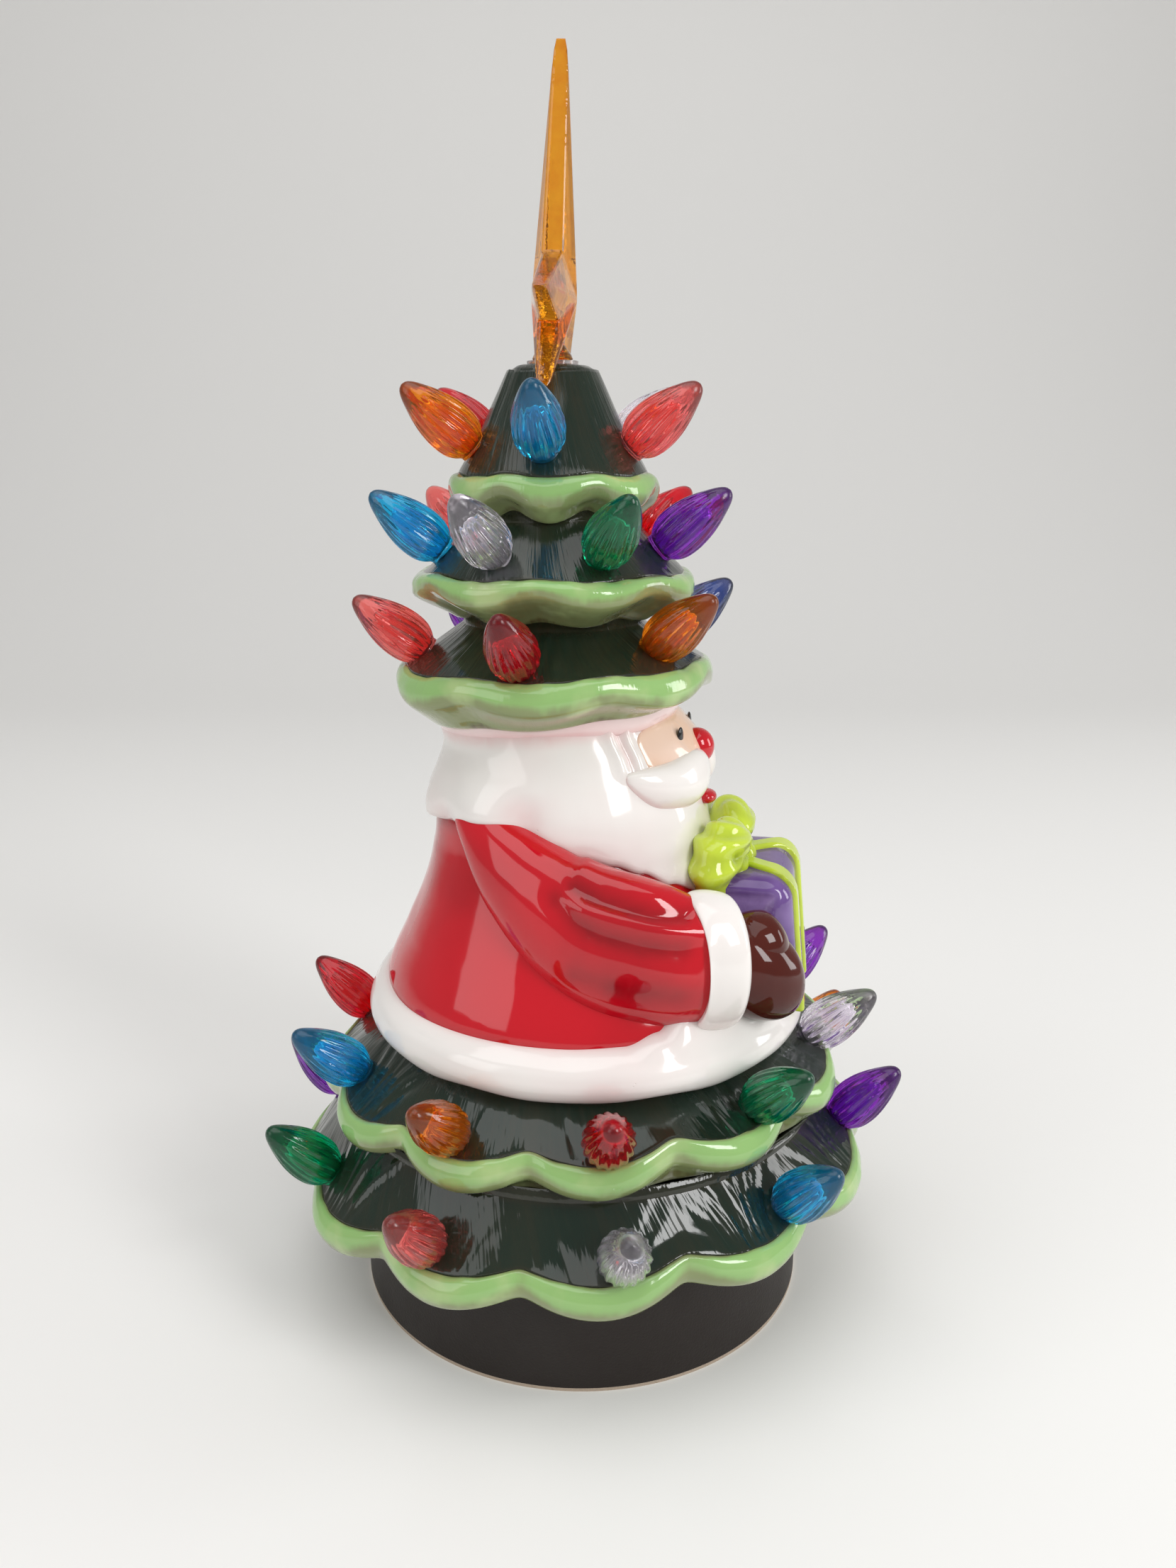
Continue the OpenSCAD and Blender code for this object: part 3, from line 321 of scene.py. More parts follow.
# %% Combed strokes
def make_comb():
    tree, given, out = effect("combed_strokes", {
        "Axis Y": 0.0, "Strokes": 40.0, "Run": 60.0, "Slant": 0.0
    }, {"Height": "Float", "Grooves": "Float"})
    parts = node(tree, "SeparateXYZ", {"Vector": object_point(tree)}).outputs
    level = node(tree, "CombineXYZ", {
        "X": parts["X"], "Y": math_node(tree, "SUBTRACT", parts["Y"], given["Axis Y"]), "Z": 0.0
    }).outputs[0]
    outward = node(tree, "VectorMath", {0: level}, operation="NORMALIZE").outputs["Vector"]
    turned = node(tree, "VectorRotate", {
        "Vector": outward, "Angle": times(tree, parts["Z"], given["Slant"])
    }, rotation_type="Z_AXIS").outputs["Vector"]
    spread = node(tree, "VectorMath", {0: turned, "Scale": given["Strokes"]}, operation="SCALE")
    climb = node(tree, "CombineXYZ", {
        "X": 0.0, "Y": 0.0, "Z": times(tree, parts["Z"], given["Run"])
    }).outputs[0]
    point = node(
        tree, "VectorMath", {0: spread.outputs["Vector"], 1: climb}, operation="ADD"
    ).outputs["Vector"]
    coarse = noise_at(tree, point, 1.0, 2, 0.55)
    fine = noise_at(tree, point, 2.6, 1, 0.5)
    height = plus(tree, coarse, times(tree, fine, 0.35))
    tree.links.new(height, out["Height"])
    tree.links.new(ramp(tree, coarse, 0.55, 0.38), out["Grooves"])
    return tree


combed_strokes = make_comb()

# %% [markdown]
# ### Moulded grain
#
# Moulded plastic takes the fine spark texture of its tool, and a handled face is a little smoother in places.

# %% Moulded grain
def make_grain():
    tree, given, out = effect("moulded_grain", {
        "Size": 1800.0, "Wear": 0.1
    }, {"Height": "Float", "Wear": "Float"})
    point = object_point(tree)
    grain = noise_at(tree, point, given["Size"], 2, 0.7)
    tree.links.new(grain, out["Height"])
    rubbed = times(tree, noise_at(tree, point, 45.0, 4, 0.6), given["Wear"])
    tree.links.new(rubbed, out["Wear"])
    return tree


moulded_grain = make_grain()
print("effects:", [group.name for group in bpy.data.node_groups])

# %% [markdown]
# ## Finishes
#
# Each material slot of the record gets its own material. The values that are the same all over a surface,
# such as a coat or an IOR, sit on the Principled shader itself. Only colour, roughness and height come from
# nodes.

# %% Glazes
finishes = {}


def new_finish(slot, colour, rough):
    paint = bpy.data.materials.new(slot)
    paint.use_nodes = True
    shader = paint.node_tree.nodes["Principled BSDF"]
    shader.inputs["Base Color"].default_value = (*colour[:3], 1)
    shader.inputs["Roughness"].default_value = rough
    finishes[slot] = paint
    return paint.node_tree, shader


def add_bump(tree, shader, height, strength, distance):
    bump = node(tree, "Bump", {"Height": height, "Strength": strength, "Distance": distance})
    tree.links.new(bump.outputs["Normal"], shader.inputs["Normal"])


GLAZE_IOR, GLAZE_COAT, COAT_ROUGH = 1.52, 0.15, 0.03
GLAZE_DEPTH = 0.0009


def glaze(slot, full, thin_and_shaded, clouding=0.3, size=40.0, rough=0.07):
    """A fired gloss glaze, with its thinner tone where the wash is high. In some glazes that tone is painted
    shade.
    """
    tree, shader = new_finish(slot, full, rough)
    colour = use(tree, glaze_colour, Full=(*full, 1), Thin=(*thin_and_shaded, 1), Wash=wash_and_shading(tree),
                 Clouding=clouding, Size=size)
    surface = use(tree, glaze_surface)
    tree.links.new(colour["Colour"], shader.inputs["Base Color"])
    tree.links.new(plus(tree, surface["Roughness"], rough), shader.inputs["Roughness"])
    shader.inputs["IOR"].default_value = GLAZE_IOR
    shader.inputs["Coat Weight"].default_value = GLAZE_COAT
    shader.inputs["Coat Roughness"].default_value = COAT_ROUGH
    add_bump(tree, shader, surface["Height"], 0.5, GLAZE_DEPTH)
    return tree, shader, colour, surface


# The thin tones are partly painted. The white glaze's pink is a painted reflection and painted shade in its
# creases, and the darker thin tones of the pink, red, brown and lime glazes are painted shade in creases and
# undersides.
glaze("white_glaze", (0.86, 0.83, 0.80), (0.80, 0.52, 0.52), clouding=0.12, size=30.0, rough=0.10)
glaze("pink_glaze", (0.88, 0.70, 0.69), (0.76, 0.42, 0.42), clouding=0.3, size=45.0)
glaze("skin_glaze", (0.86, 0.58, 0.42), (0.90, 0.70, 0.60), clouding=0.5, size=60.0)
glaze("black_glaze", (0.008, 0.008, 0.008), (0.03, 0.02, 0.02))
glaze("red_glaze", (0.58, 0.005, 0.015), (0.22, 0.003, 0.007), clouding=0.35, size=26.0)
brown_shader = glaze("brown_glaze", (0.085, 0.013, 0.008), (0.035, 0.007, 0.005), clouding=0.4)[1]
brown_shader.inputs["Specular IOR Level"].default_value = 0.28
glaze("purple_glaze", (0.095, 0.035, 0.20), (0.36, 0.24, 0.54), clouding=0.4, size=55.0)
glaze("lime_glaze", (0.56, 0.70, 0.05), (0.36, 0.46, 0.03), clouding=0.5, size=70.0)
print("glazes:", sorted(finishes))

# %% [markdown]
# ### The two greens
#
# The dark slopes are almost black with a green cast and turn paler where the glaze ran thin beside the rims.
# The rims are light green with painted light on top and painted shade below: olive under the roll, and a brown
# painted shadow in the crease. Both carry the comb's strokes, each round its own tier's axis.

# %% Greens
DARK_GREEN, DARK_THIN = (0.009, 0.022, 0.014), (0.024, 0.026, 0.015)
# Painted light and shade of the rims: lit green on the top, olive shade below and a brown painted shadow in
# the crease. The paler green lies in random clouds.
LIT_TOP_GREEN, PALE_GREEN = (0.29, 0.50, 0.17, 1), (0.42, 0.56, 0.24, 1)
SHADED_OLIVE, CREASE_SHADOW_BROWN = (0.24, 0.29, 0.12, 1), (0.10, 0.075, 0.03, 1)
RIM_COAT, RIM_DEPTH = 0.3, 0.0008


def dark_green(slot, axis_y):
    """A glaze over combed strokes, which add to its ripple. Their grooves take the thinner tone."""
    tree, shader, colour, surface = glaze(slot, DARK_GREEN, DARK_THIN, clouding=0.45, size=60.0)
    comb = use(tree, combed_strokes, Axis_Y=axis_y, Strokes=26.0, Run=45.0, Slant=6.0)
    height = plus(tree, times(tree, comb["Height"], 0.35), surface["Height"])
    add_bump(tree, shader, height, 0.55, GLAZE_DEPTH)
    mixed = blend(tree, times(tree, comb["Grooves"], 0.35), colour["Colour"], (*DARK_THIN, 1))
    tree.links.new(mixed, shader.inputs["Base Color"])
    shader.inputs["Specular IOR Level"].default_value = 0.4


def light_green(slot, axis_y):
    """Light green glaze with painted light and shade: lit green on top where the wash is high, olive painted
    shade below and a brown painted shadow in the crease.
    """
    tree, shader = new_finish(slot, tint_of["light_green_glaze"], 0.09)
    comb = use(tree, combed_strokes, Axis_Y=axis_y, Strokes=18.0, Run=20.0, Slant=0.0)
    surface = use(tree, glaze_surface)
    clouds = noise_at(tree, object_point(tree), 75.0, 3)
    level = plus(tree, wash_and_shading(tree), times(tree, clouds, 0.28))
    level = plus(tree, level, times(tree, comb["Height"], 0.12))
    # Painted light on top of the roll, painted shade below it and a painted shadow in the crease, all set by
    # the wash.
    green = blend(tree, ramp(tree, level, 0.72, 0.92), SHADED_OLIVE, LIT_TOP_GREEN)
    pale = blend(tree, ramp(tree, clouds, 0.5, 0.75), green, PALE_GREEN)
    crease_shaded = blend(tree, ramp(tree, level, 0.30, 0.14), pale, CREASE_SHADOW_BROWN)
    tree.links.new(crease_shaded, shader.inputs["Base Color"])
    shader.inputs["Coat Weight"].default_value = RIM_COAT
    shader.inputs["Coat Roughness"].default_value = COAT_ROUGH
    height = plus(tree, surface["Height"], times(tree, comb["Height"], 0.3))
    add_bump(tree, shader, height, 0.45, RIM_DEPTH)


# How far the upper tiers' axis lies behind the middle of the base, in mm
TREE_BACK = 7.4
dark_green("dark_green_upper", TREE_BACK * MM)
dark_green("dark_green_lower", 0.0)
light_green("light_green_upper", TREE_BACK * MM)
light_green("light_green_lower", 0.0)
print("greens:", sorted(name for name in finishes if "green" in name))

# %% [markdown]
# ### Translucent plastic
#
# The bulbs and the star are moulded in clear coloured plastic. Full transmission alone would go dark against
# the dark glaze, as real bulbs don't: they scatter some of the light inside. Nearly full transmission over a
# saturated base keeps both the depth and the glow.

# %% Bulb and star plastics
PLASTIC_IOR = 1.49
BULB_THROUGH, CLEAR_THROUGH, BULB_ROUGH = 0.88, 0.95, 0.03


def clear_plastic(slot, colour, tip, through, rough):
    """Coloured plastic with a slow swirl, and frosted where the wash is high."""
    tree, shader = new_finish(slot, colour, rough)
    frost = wash_and_shading(tree)
    swirl = noise_at(tree, object_point(tree), 160.0, 3, 0.6, 1.0)
    swirled = times(tree, ramp(tree, swirl, 0.4, 0.7), 0.5)
    tinted = blend(tree, swirled, (*colour, 1), (*tip, 1))
    tinted = blend(tree, times(tree, frost, 0.55), tinted, (*tip, 1))
    tree.links.new(tinted, shader.inputs["Base Color"])
    tree.links.new(plus(tree, times(tree, frost, 0.22), rough), shader.inputs["Roughness"])
    shader.inputs["Transmission Weight"].default_value = through
    shader.inputs["IOR"].default_value = PLASTIC_IOR
    add_bump(tree, shader, noise_at(tree, object_point(tree), 420.0, 2), 0.25, 0.0004)


# Each bulb's colour and the tone of its tip and swirls
BULB_COLOURS = {
    "red": ((0.85, 0.006, 0.02), (0.60, 0.02, 0.04)),
    "amber": ((1.0, 0.30, 0.01), (0.80, 0.14, 0.01)),
    "coral": ((1.0, 0.17, 0.16), (0.95, 0.24, 0.20)),
    "blue": ((0.01, 0.52, 0.92), (0.06, 0.36, 0.62)),
    "navy": ((0.04, 0.08, 0.32), (0.16, 0.16, 0.28)),
    "green": ((0.0, 0.46, 0.20), (0.02, 0.24, 0.11)),
    "purple": ((0.30, 0.03, 0.62), (0.30, 0.08, 0.44)),
    "clear": ((0.93, 0.88, 0.96), (0.85, 0.79, 0.88)),
}
for name, (colour, tip) in BULB_COLOURS.items():
    through = CLEAR_THROUGH if name == "clear" else BULB_THROUGH
    clear_plastic(f"{name}_bulb", colour, tip, through, BULB_ROUGH)
clear_plastic("amber_star", (1.0, 0.42, 0.02), (0.85, 0.22, 0.01), 0.94, 0.02)
clear_plastic("clear_plastic", (0.86, 0.80, 0.80), (0.8, 0.7, 0.7), 0.85, 0.05)

# %% [markdown]
# ### Moulded plastic, metal and foam
#
# The drum is satin dark brown with a spark texture. The pieces in and under it are plain workshop finishes,
# each still with its own grain, so that they hold up when the tree is turned over.

# %% Base finishes
GRAIN_SIZE, GRAIN_DEPTH, GRAIN_WEAR = 1800.0, 0.00012, 0.16


def moulded(slot, colour, rough, size=GRAIN_SIZE, depth=GRAIN_DEPTH, wear=GRAIN_WEAR):
    """Moulded plastic, foam or metal: a fine grain that is paler and smoother where it was handled."""
    tree, shader = new_finish(slot, colour, rough)
    grain = use(tree, moulded_grain, Size=size, Wear=wear)
    paler = (*[0.5 * c + 0.04 for c in colour], 1)
    worn_and_shaded = blend(tree, times(tree, grain["Wear"], 2.0, clamp=True), (*colour, 1), paler)
    tree.links.new(worn_and_shaded, shader.inputs["Base Color"])
    tree.links.new(math_node(tree, "SUBTRACT", rough + wear / 2, grain["Wear"]), shader.inputs["Roughness"])
    add_bump(tree, shader, grain["Height"], 0.6, depth)
    return shader


drum_shader = moulded("brown_plastic", (0.013, 0.0075, 0.0055), 0.48, 1500.0, 0.0002)
drum_shader.inputs["Specular IOR Level"].default_value = 0.3
# Slot, roughness, size of the grain, its depth in metres and its wear
for slot, *settings in (
    ("grey_plastic", 0.55), ("white_plastic", 0.4), ("board", 0.3, 900.0, 0.00006), ("chip", 0.6),
    ("lamp", 0.25, 700.0, 0.00005), ("wire", 0.4, 900.0), ("cell_wrap", 0.28, 500.0, 0.00004),
    ("foam", 0.9, 900.0, 0.0006, 0.1),
):
    moulded(slot, tint_of[slot], *settings)
moulded("steel", tint_of["steel"], 0.32, 2400.0, 0.00005).inputs["Metallic"].default_value = 1.0
print("finishes:", len(finishes))

# %% [markdown]
# ## A tube to shape the ceramic from
#
# Nearly all of the casting is a relief on a round form. A relief could be sculpted by hand, but then nobody
# could change it. Here a column of points is spun once into a plain tube, and each point of the tube is then
# moved to its place by a short function of its angle and its row. The same function also gives the wash: how
# thin the glaze is, and on the figure and the rims the painted shade and light.

# %% Tube and pieces
def smooth_between(points, share):
    """A smooth curve through given points, at a share from 0 to 1 of their count."""
    place = min(max(share, 0.0), 1.0) * (len(points) - 1)
    k = min(int(place), len(points) - 2)
    t = place - k
    before, here = points[max(k - 1, 0)], points[k]
    there, after = points[k + 1], points[min(k + 2, len(points) - 1)]
    return [
        0.5 * (2 * b + (c - a) * t + (2 * a - 5 * b + 4 * c - d) * t ** 2 + (3 * b - a - 3 * c + d) * t ** 3)
        for a, b, c, d in zip(before, here, there, after)
    ]


def soft_step(value, low, high):
    t = min(max((value - low) / (high - low), 0.0), 1.0)
    return t * t * (3 - 2 * t)


def bell(value, middle, width):
    return math.exp(-((value - middle) / width) ** 2)


def angle_gap(a, b):
    """The signed angle in degrees from b to a, between -180 and 180."""
    return (a - b + 180) % 360 - 180


def ring_point(around, r, z, middle=0.0):
    """The point at an angle on a level ring round a middle on the Y axis."""
    turn = math.radians(around)
    return r * math.cos(turn), middle + r * math.sin(turn), z


def ring_noise(around, r, z):
    """Noise along a ring, so that it closes without a seam. A larger ring gives finer noise."""
    return noise.noise(Vector(ring_point(around, r, z)))


def tube(rows, steps, place, closed=True, merge=0.0):
    """Spins a column of rows once round and moves each vertex to place(angle in degrees, row)."""
    bm = bmesh.new()
    wash_and_shading_layer = bm.verts.layers.float.new("wash_and_shading")
    column = [bm.verts.new((1, 0, k)) for k in range(rows)]
    links = [bm.edges.new(pair) for pair in zip(column, column[1:])]
    if closed:
        links.append(bm.edges.new((column[-1], column[0])))
    bmesh.ops.spin(
        bm, geom=column + links, cent=(0, 0, 0), axis=(0, 0, 1), angle=math.tau, steps=steps,
        use_merge=True, use_duplicate=False
    )
    for vert in bm.verts:
        around = math.degrees(math.atan2(vert.co.y, vert.co.x)) % 360
        point, thin_and_shaded = place(around, round(vert.co.z))
        vert.co = Vector(point) * MM
        vert[wash_and_shading_layer] = thin_and_shaded
    if merge:
        bmesh.ops.remove_doubles(bm, verts=bm.verts, dist=merge * MM)
    bmesh.ops.recalc_face_normals(bm, faces=bm.faces)
    return bm


def finish_piece(name, bm, *nodes, finish=None):
    """Makes a smooth piece that rides with its CAD nodes, stands for them and takes their slot."""
    mesh = bpy.data.meshes.new(name)
    bm.to_mesh(mesh)
    bm.free()
    mesh.shade_smooth()
    mesh.materials.append(finishes[finish or slot_of[nodes[0]]])
    piece = bpy.data.objects.new(name, mesh)
    bpy.context.scene.collection.objects.link(piece)
    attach(piece, body_of[nodes[0]])
    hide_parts(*nodes)
    print(f"{name}: {len(mesh.vertices)} vertices, stands for {', '.join(nodes)}")
    return piece


# %% [markdown]
# ## The tiers
#
# Each tier is a slope and a rolled rim with soft lobes. The lobes come from one formula, so a notch runs down
# the slope, through the rim and into the scalloped lower edge. The slopes carry combed needles: noise that is
# fine round the tier and long down it, in real depth, because bump alone leaves the outline too clean.

# %% Tier sizes
CROWN_Z, TIER_1_Z, TIER_2_Z, TIER_3_Z = 247.4, 210.5, 184.5, 159.5
HEM_Z, TIER_4_Z, TIER_5_Z = 76.0, 55.5, 33.0
WALL = 4.5
RIM_H = 7.5
RIM_REACH = RIM_H / 2.6
LOBE_DIP = 3.2
LOBE_POWER = 0.375
# What the small tiers share and what the wide ones do: their axis, the lobes and how deep and soft the notches
# between them are, the share of the lobes that the slope's edge has, and the steps of the spin
UPPER = dict(glaze="upper", mid=TREE_BACK, lobes=7, notch=1.4, soft=0.4, edge=0.3, steps=600)
LOWER = dict(glaze="lower", mid=0, lobes=12, notch=4, soft=0.05, edge=0.8, steps=1020)
# Necks, rims and feet are (radius, height, rise of the front), and turn is the angle of a lobe
TIERS = {
    "tier_1": dict(UPPER, turn=189.5, neck=(10.9, CROWN_Z, 0), rim=(27.2, 219.0, 0), foot=(20.7, TIER_1_Z, 0)),
    "tier_2": dict(UPPER, turn=210.5, neck=(20.7, TIER_1_Z, 0), rim=(36.4, 196.0, 0),
                   foot=(23.5, TIER_2_Z, 0)),
    "tier_3": dict(UPPER, turn=185, neck=(23.5, TIER_2_Z, 0), rim=(42.0, 171.5, 1.04),
                   foot=(31.5, TIER_3_Z, 2.6)),
    "tier_4": dict(LOWER, turn=195, neck=(54.0, HEM_Z, 0), rim=(72.5, 65.5, 3.8), foot=(65.0, TIER_4_Z, 0)),
    "tier_5": dict(LOWER, turn=195, neck=(65.0, TIER_4_Z, 0), rim=(80.5, 39.5, 3.8), foot=(62.0, TIER_5_Z, 0)),
}
# How far the dark glaze runs down over the rims of the two top tiers
EDGE_DROP = {"tier_1": 0.9, "tier_2": 1.7}
# The slope as (share of the way down, share of the way out, share of the lobes)
SLOPE_SHARES = [(0, 0, 0), (0.3, 0.26, 0.2), (0.66, 0.62, 0.6), (1, 1, 1)]


def swell(around, tier):
    """1 in the middle of a lobe, 0 in the notch beside it."""
    wave = math.cos(math.radians(tier["lobes"] * (around - tier["turn"]) / 2))
    soft = tier["soft"]
    low, high = soft ** LOBE_POWER, (1 + soft) ** LOBE_POWER
    return ((wave * wave + soft) ** LOBE_POWER - low) / (high - low)


def tier_point(tier, around, r, z, rise=0, lobe_share=0):
    """A point of a tier: its notches pull in, its lobes hang down and its front rises a little."""
    high = swell(around, tier)
    x, y, z = ring_point(around, r - tier["notch"] * lobe_share * (1 - high), z, tier["mid"])
    return x, y, z - rise * math.sin(math.radians(around)) - LOBE_DIP * lobe_share * high


def needle(around, down, count, lean, seed):
    """Comb strokes: about -1 to 1, fine round the tier and long down it."""
    return ring_noise(around + lean * down, count / math.tau, 1.1 * down + seed)


print("tiers:", {name: round(tier["rim"][0] * 2, 1) for name, tier in TIERS.items()}, "mm across")

# %% [markdown]
# ### Dark slopes
#
# A slope runs from under the piece above to the rim. Its depth of combing changes slowly round the tier, so
# that some lobes are deeply brushed and others nearly smooth, as the brush left them. Where the slope meets a
# piece the glaze ran thin and paler, which the wash keeps.

# %% Dark slopes
COMB_DEPTH = {"tier_1": 0.26, "tier_2": 0.24, "tier_3": 0.36, "tier_4": 0.6, "tier_5": 0.62}
# How far a slope's top edge reaches out and up into the piece above it
TUCK = {"tier_2": (-0.6, 3.4), "tier_3": (-0.6, 3.4), "tier_4": (0.4, 0.6), "tier_5": (3.2, 5.4)}
SLOPE_ROWS = 26
STROKES_PER_MM, STROKE_LEAN = 1.5, 9
LUMP_HEIGHT, LUMP_FINENESS = 0.5, 0.06


def slope_place(name):
    tier = TIERS[name]
    neck_r, neck_z, _ = tier["neck"]
    rim_r, rim_z, rim_rise = tier["rim"]
    edge_r, edge_z = rim_r - RIM_REACH, rim_z + RIM_H / 2 - EDGE_DROP.get(name, 0)
    tuck_r, tuck_z = TUCK.get(name, (0, 0))
    strokes = rim_r * STROKES_PER_MM
    seed = 7.0 * int(name[-1])

    def place(around, row):
        if row == SLOPE_ROWS + 1:
            return tier_point(tier, around, rim_r - 2 * WALL, rim_z, rim_rise), 0.6
        if row == SLOPE_ROWS + 2:
            return tier_point(tier, around, neck_r - WALL, neck_z), 0.6
        if row == 0:
            return tier_point(tier, around, neck_r + tuck_r, neck_z + tuck_z), 1.0
        share = (row - 1) / (SLOPE_ROWS - 1)
        down, out, lobes = smooth_between(SLOPE_SHARES, share)
        r, z = neck_r + (edge_r - neck_r) * out, neck_z + (edge_z - neck_z) * down
        amount = COMB_DEPTH[name] * math.sin(math.pi * min(share * 0.94 + 0.06, 1)) ** 0.4
        amount *= 0.25 + soft_step(ring_noise(around, 2.2, seed), -0.2, 0.5)
        lean = STROKE_LEAN * math.sin(math.radians(tier["lobes"] * (around - tier["turn"])))
        cut = needle(around, share, strokes, lean, seed)
        cut += 0.3 * needle(around, share, 2.1 * strokes, lean, seed + 3)
        lumps = LUMP_HEIGHT * ring_noise(around, r * LUMP_FINENESS, z * 0.08 + seed)
        lift = 0.7 * ((amount * cut + lumps) * (1 - soft_step(share, 0.93, 1.0)))
        point = tier_point(tier, around, r + lift, z + lift, rim_rise * out, lobes * tier["edge"])
        ragged = 0.05 * needle(around, 0.5, strokes * 0.7, 0, seed + 9)
        thin_and_shaded = 1 - soft_step(share, 0.0, 0.16) + soft_step(share + ragged, 0.90, 1.0) * 0.8
        thin_and_shaded += 0.45 * (1 - swell(around, tier)) ** 3
        return point, min(thin_and_shaded, 1.0)

    return place


# The crown round the star's hole as (radius, height over the crown's top)
CROWN = [(5.45, -4.5), (5.45, -0.5), (5.8, 0), (7.4, 0.05), (9.0, -0.25), (10.35, -1.25), (11.3, -3.2)]
CROWN_ROWS = 10
below_crown = slope_place("tier_1")


def crown_place(around, row):
    """The top tier closes over its crown: a flat top with a soft shoulder."""
    if row < CROWN_ROWS:
        r, rise = smooth_between(CROWN, row / (CROWN_ROWS - 1))
        z = CROWN_Z + rise + 0.16 * ring_noise(around, 2, row * 0.3) * soft_step(row, 2, 5)
        return tier_point(TIERS["tier_1"], around, r, z), 0.55 * bell(row, 6, 1.6)
    point, thin_and_shaded = below_crown(around, row - CROWN_ROWS + 3)
    return point, thin_and_shaded if row > CROWN_ROWS + 6 else 0.1


for name in ("tier_2", "tier_3", "tier_4", "tier_5"):
    finish_piece(f"{name}_slope", tube(SLOPE_ROWS + 3, TIERS[name]["steps"], slope_place(name)),
                 f"{name}_shell", finish="dark_green_" + TIERS[name]["glaze"])
finish_piece("tier_1_slope", tube(CROWN_ROWS + SLOPE_ROWS, UPPER["steps"], crown_place),
             "tier_1_shell", finish="dark_green_upper")

# %% [markdown]
# ### Rolled rims
#
# The light green rims are thick rolls. Their top edge is ragged where the brush of dark glaze stopped, and
# the wash of each row says how much painted light lies there: most on top, olive painted shade below, and a
# brown painted shadow in the crease. The notches are painted a little darker too.

# %% Rims
RIM_ROWS = 20
# The roll as (share of the reach, share of the rim's height from its widest line, painted light against
# painted shade, lobes)
ROLLS = {
    "upper": [(-1, 0.5, 0.62, 0.3), (-0.45, 0.40, 0.86, 0.34), (-0.08, 0.16, 0.84, 0.42),
              (0, -0.10, 0.62, 0.55), (-0.3, -0.36, 0.45, 0.75)],
    "lower": [(-1, 0.5, 0.55, 1), (-0.5, 0.47, 0.80, 1), (-0.1, 0.24, 0.80, 1), (0, -0.02, 0.66, 1),
              (-0.25, -0.32, 0.5, 1), (-0.85, -0.55, 0.32, 1)],
}
# Where it turns in to its foot, as (out from the foot, up from it, painted light against painted shade, rise
# of the front, lobes)
FEET = {
    "tier_1": [(3.4, 4.6, 0.30, 0, 1.0), (1.3, 2.9, 0.12, 0, 1.0)],
    "tier_2": [(4.6, 5.0, 0.30, 0, 0.7), (1.6, 2.9, 0.12, 0, 0.55)],
    "tier_3": [(4.2, 5.6, 0.30, 2.6, 0.5), (2.0, 3.4, 0.12, 2.6, 0.3)],
    "tier_4": [(3.4, 5.2, 0.12, 2.4, 0.7), (2.2, 4.2, 0.05, 1.5, 0.3)],
    "tier_5": [(11, 1.6, 0.2, 1.6, 0.6), (0, 0, 0.1, 0, 0)],
}


def rim_place(name):
    tier = TIERS[name]
    rim_r, rim_z, rim_rise = tier["rim"]
    foot_r, foot_z, foot_rise = tier["foot"]
    seed = 5.0 * int(name[-1])
    drop = 2 * EDGE_DROP.get(name, 0)
    roll = [(rim_r + RIM_REACH * out, rim_z + RIM_H * up - drop * max(up, 0), lit_share, rim_rise, lobes)
            for out, up, lit_share, lobes in ROLLS[tier["glaze"]]]
    roll += [(foot_r + out, foot_z + up, *others) for out, up, *others in FEET[name]]

    def place(around, row):
        if row == RIM_ROWS + 1:
            return tier_point(tier, around, foot_r - WALL, foot_z, foot_rise), 0.1
        if row == RIM_ROWS + 2:
            return tier_point(tier, around, rim_r - 2 * WALL, rim_z, rim_rise), 0.1
        share = row / RIM_ROWS
        r, z, lit_share, rise, lobes = smooth_between(roll, share)
        if tier["glaze"] == "lower":
            lobes *= tier["edge"] + (1 - tier["edge"]) * soft_step(share, 0.0, 0.3)
        ragged = 0.35 * needle(around, 0.3, rim_r * 1.3, 0, seed) * (1 - soft_step(share, 0.0, 0.22))
        nicks = 0.16 * needle(around, share, rim_r * 1.5, 0, seed + 2) * bell(share, 0.3, 0.2)
        lumps = 0.42 * ring_noise(around, rim_r * 0.07, seed + share)
        r += (nicks + lumps) * math.sin(math.pi * share)
        z += ragged + 0.5 * lumps * math.sin(math.pi * share)
        # Painted shade: the notches get less painted light.
        lit_share -= 0.16 * (1 - swell(around, tier)) ** 2
        return tier_point(tier, around, r, z, rise, lobes), min(max(lit_share, 0.0), 1.0)

    return place


for name, tier in TIERS.items():
    finish_piece(f"{name}_rolled_rim", tube(RIM_ROWS + 3, tier["steps"], rim_place(name)),
                 f"{name}_rim", finish="light_green_" + tier["glaze"])

# %% [markdown]
# ## Bulbs
#
# A bulb is a solid plastic flame with a hollow for the light. Fine flutes run down its outside and deep ones
# down the hollow, and it is the inner ones that make the bright streaks. Both are the same spun tube with a
# cosine round it, and the tip is left smooth and a little frosted.

# %% Bulb sizes and places
BULB_L, BULB_D, BULB_SINK = 22.4, 12.8, 0.6
PEG_L, PEG_D = 8.0, 5.2
FLUTES, BULB_TWIST = 17, 14
FLUTE_DEPTH, INNER_FLUTE_DEPTH = 0.075, 0.22
BULB_STEPS, SKIN_ROWS, HOLLOW_ROWS = 136, 27, 15
BULB_LEANS = {"tier_1": 40, "tier_2": 39, "tier_3": 38, "tier_4": 40, "tier_5": 45}
# The share of the way down the slope that a tier's bulbs stand at, and the three that stand higher
BULB_SHARES = {"tier_1": 0.78, "tier_2": 0.66, "tier_3": 0.7, "tier_4": 0.72, "tier_5": 0.76}
HIGH_BULBS = {("tier_2", 266.3): 0.6, ("tier_3", 244): 0.53, ("tier_3", 295): 0.53}
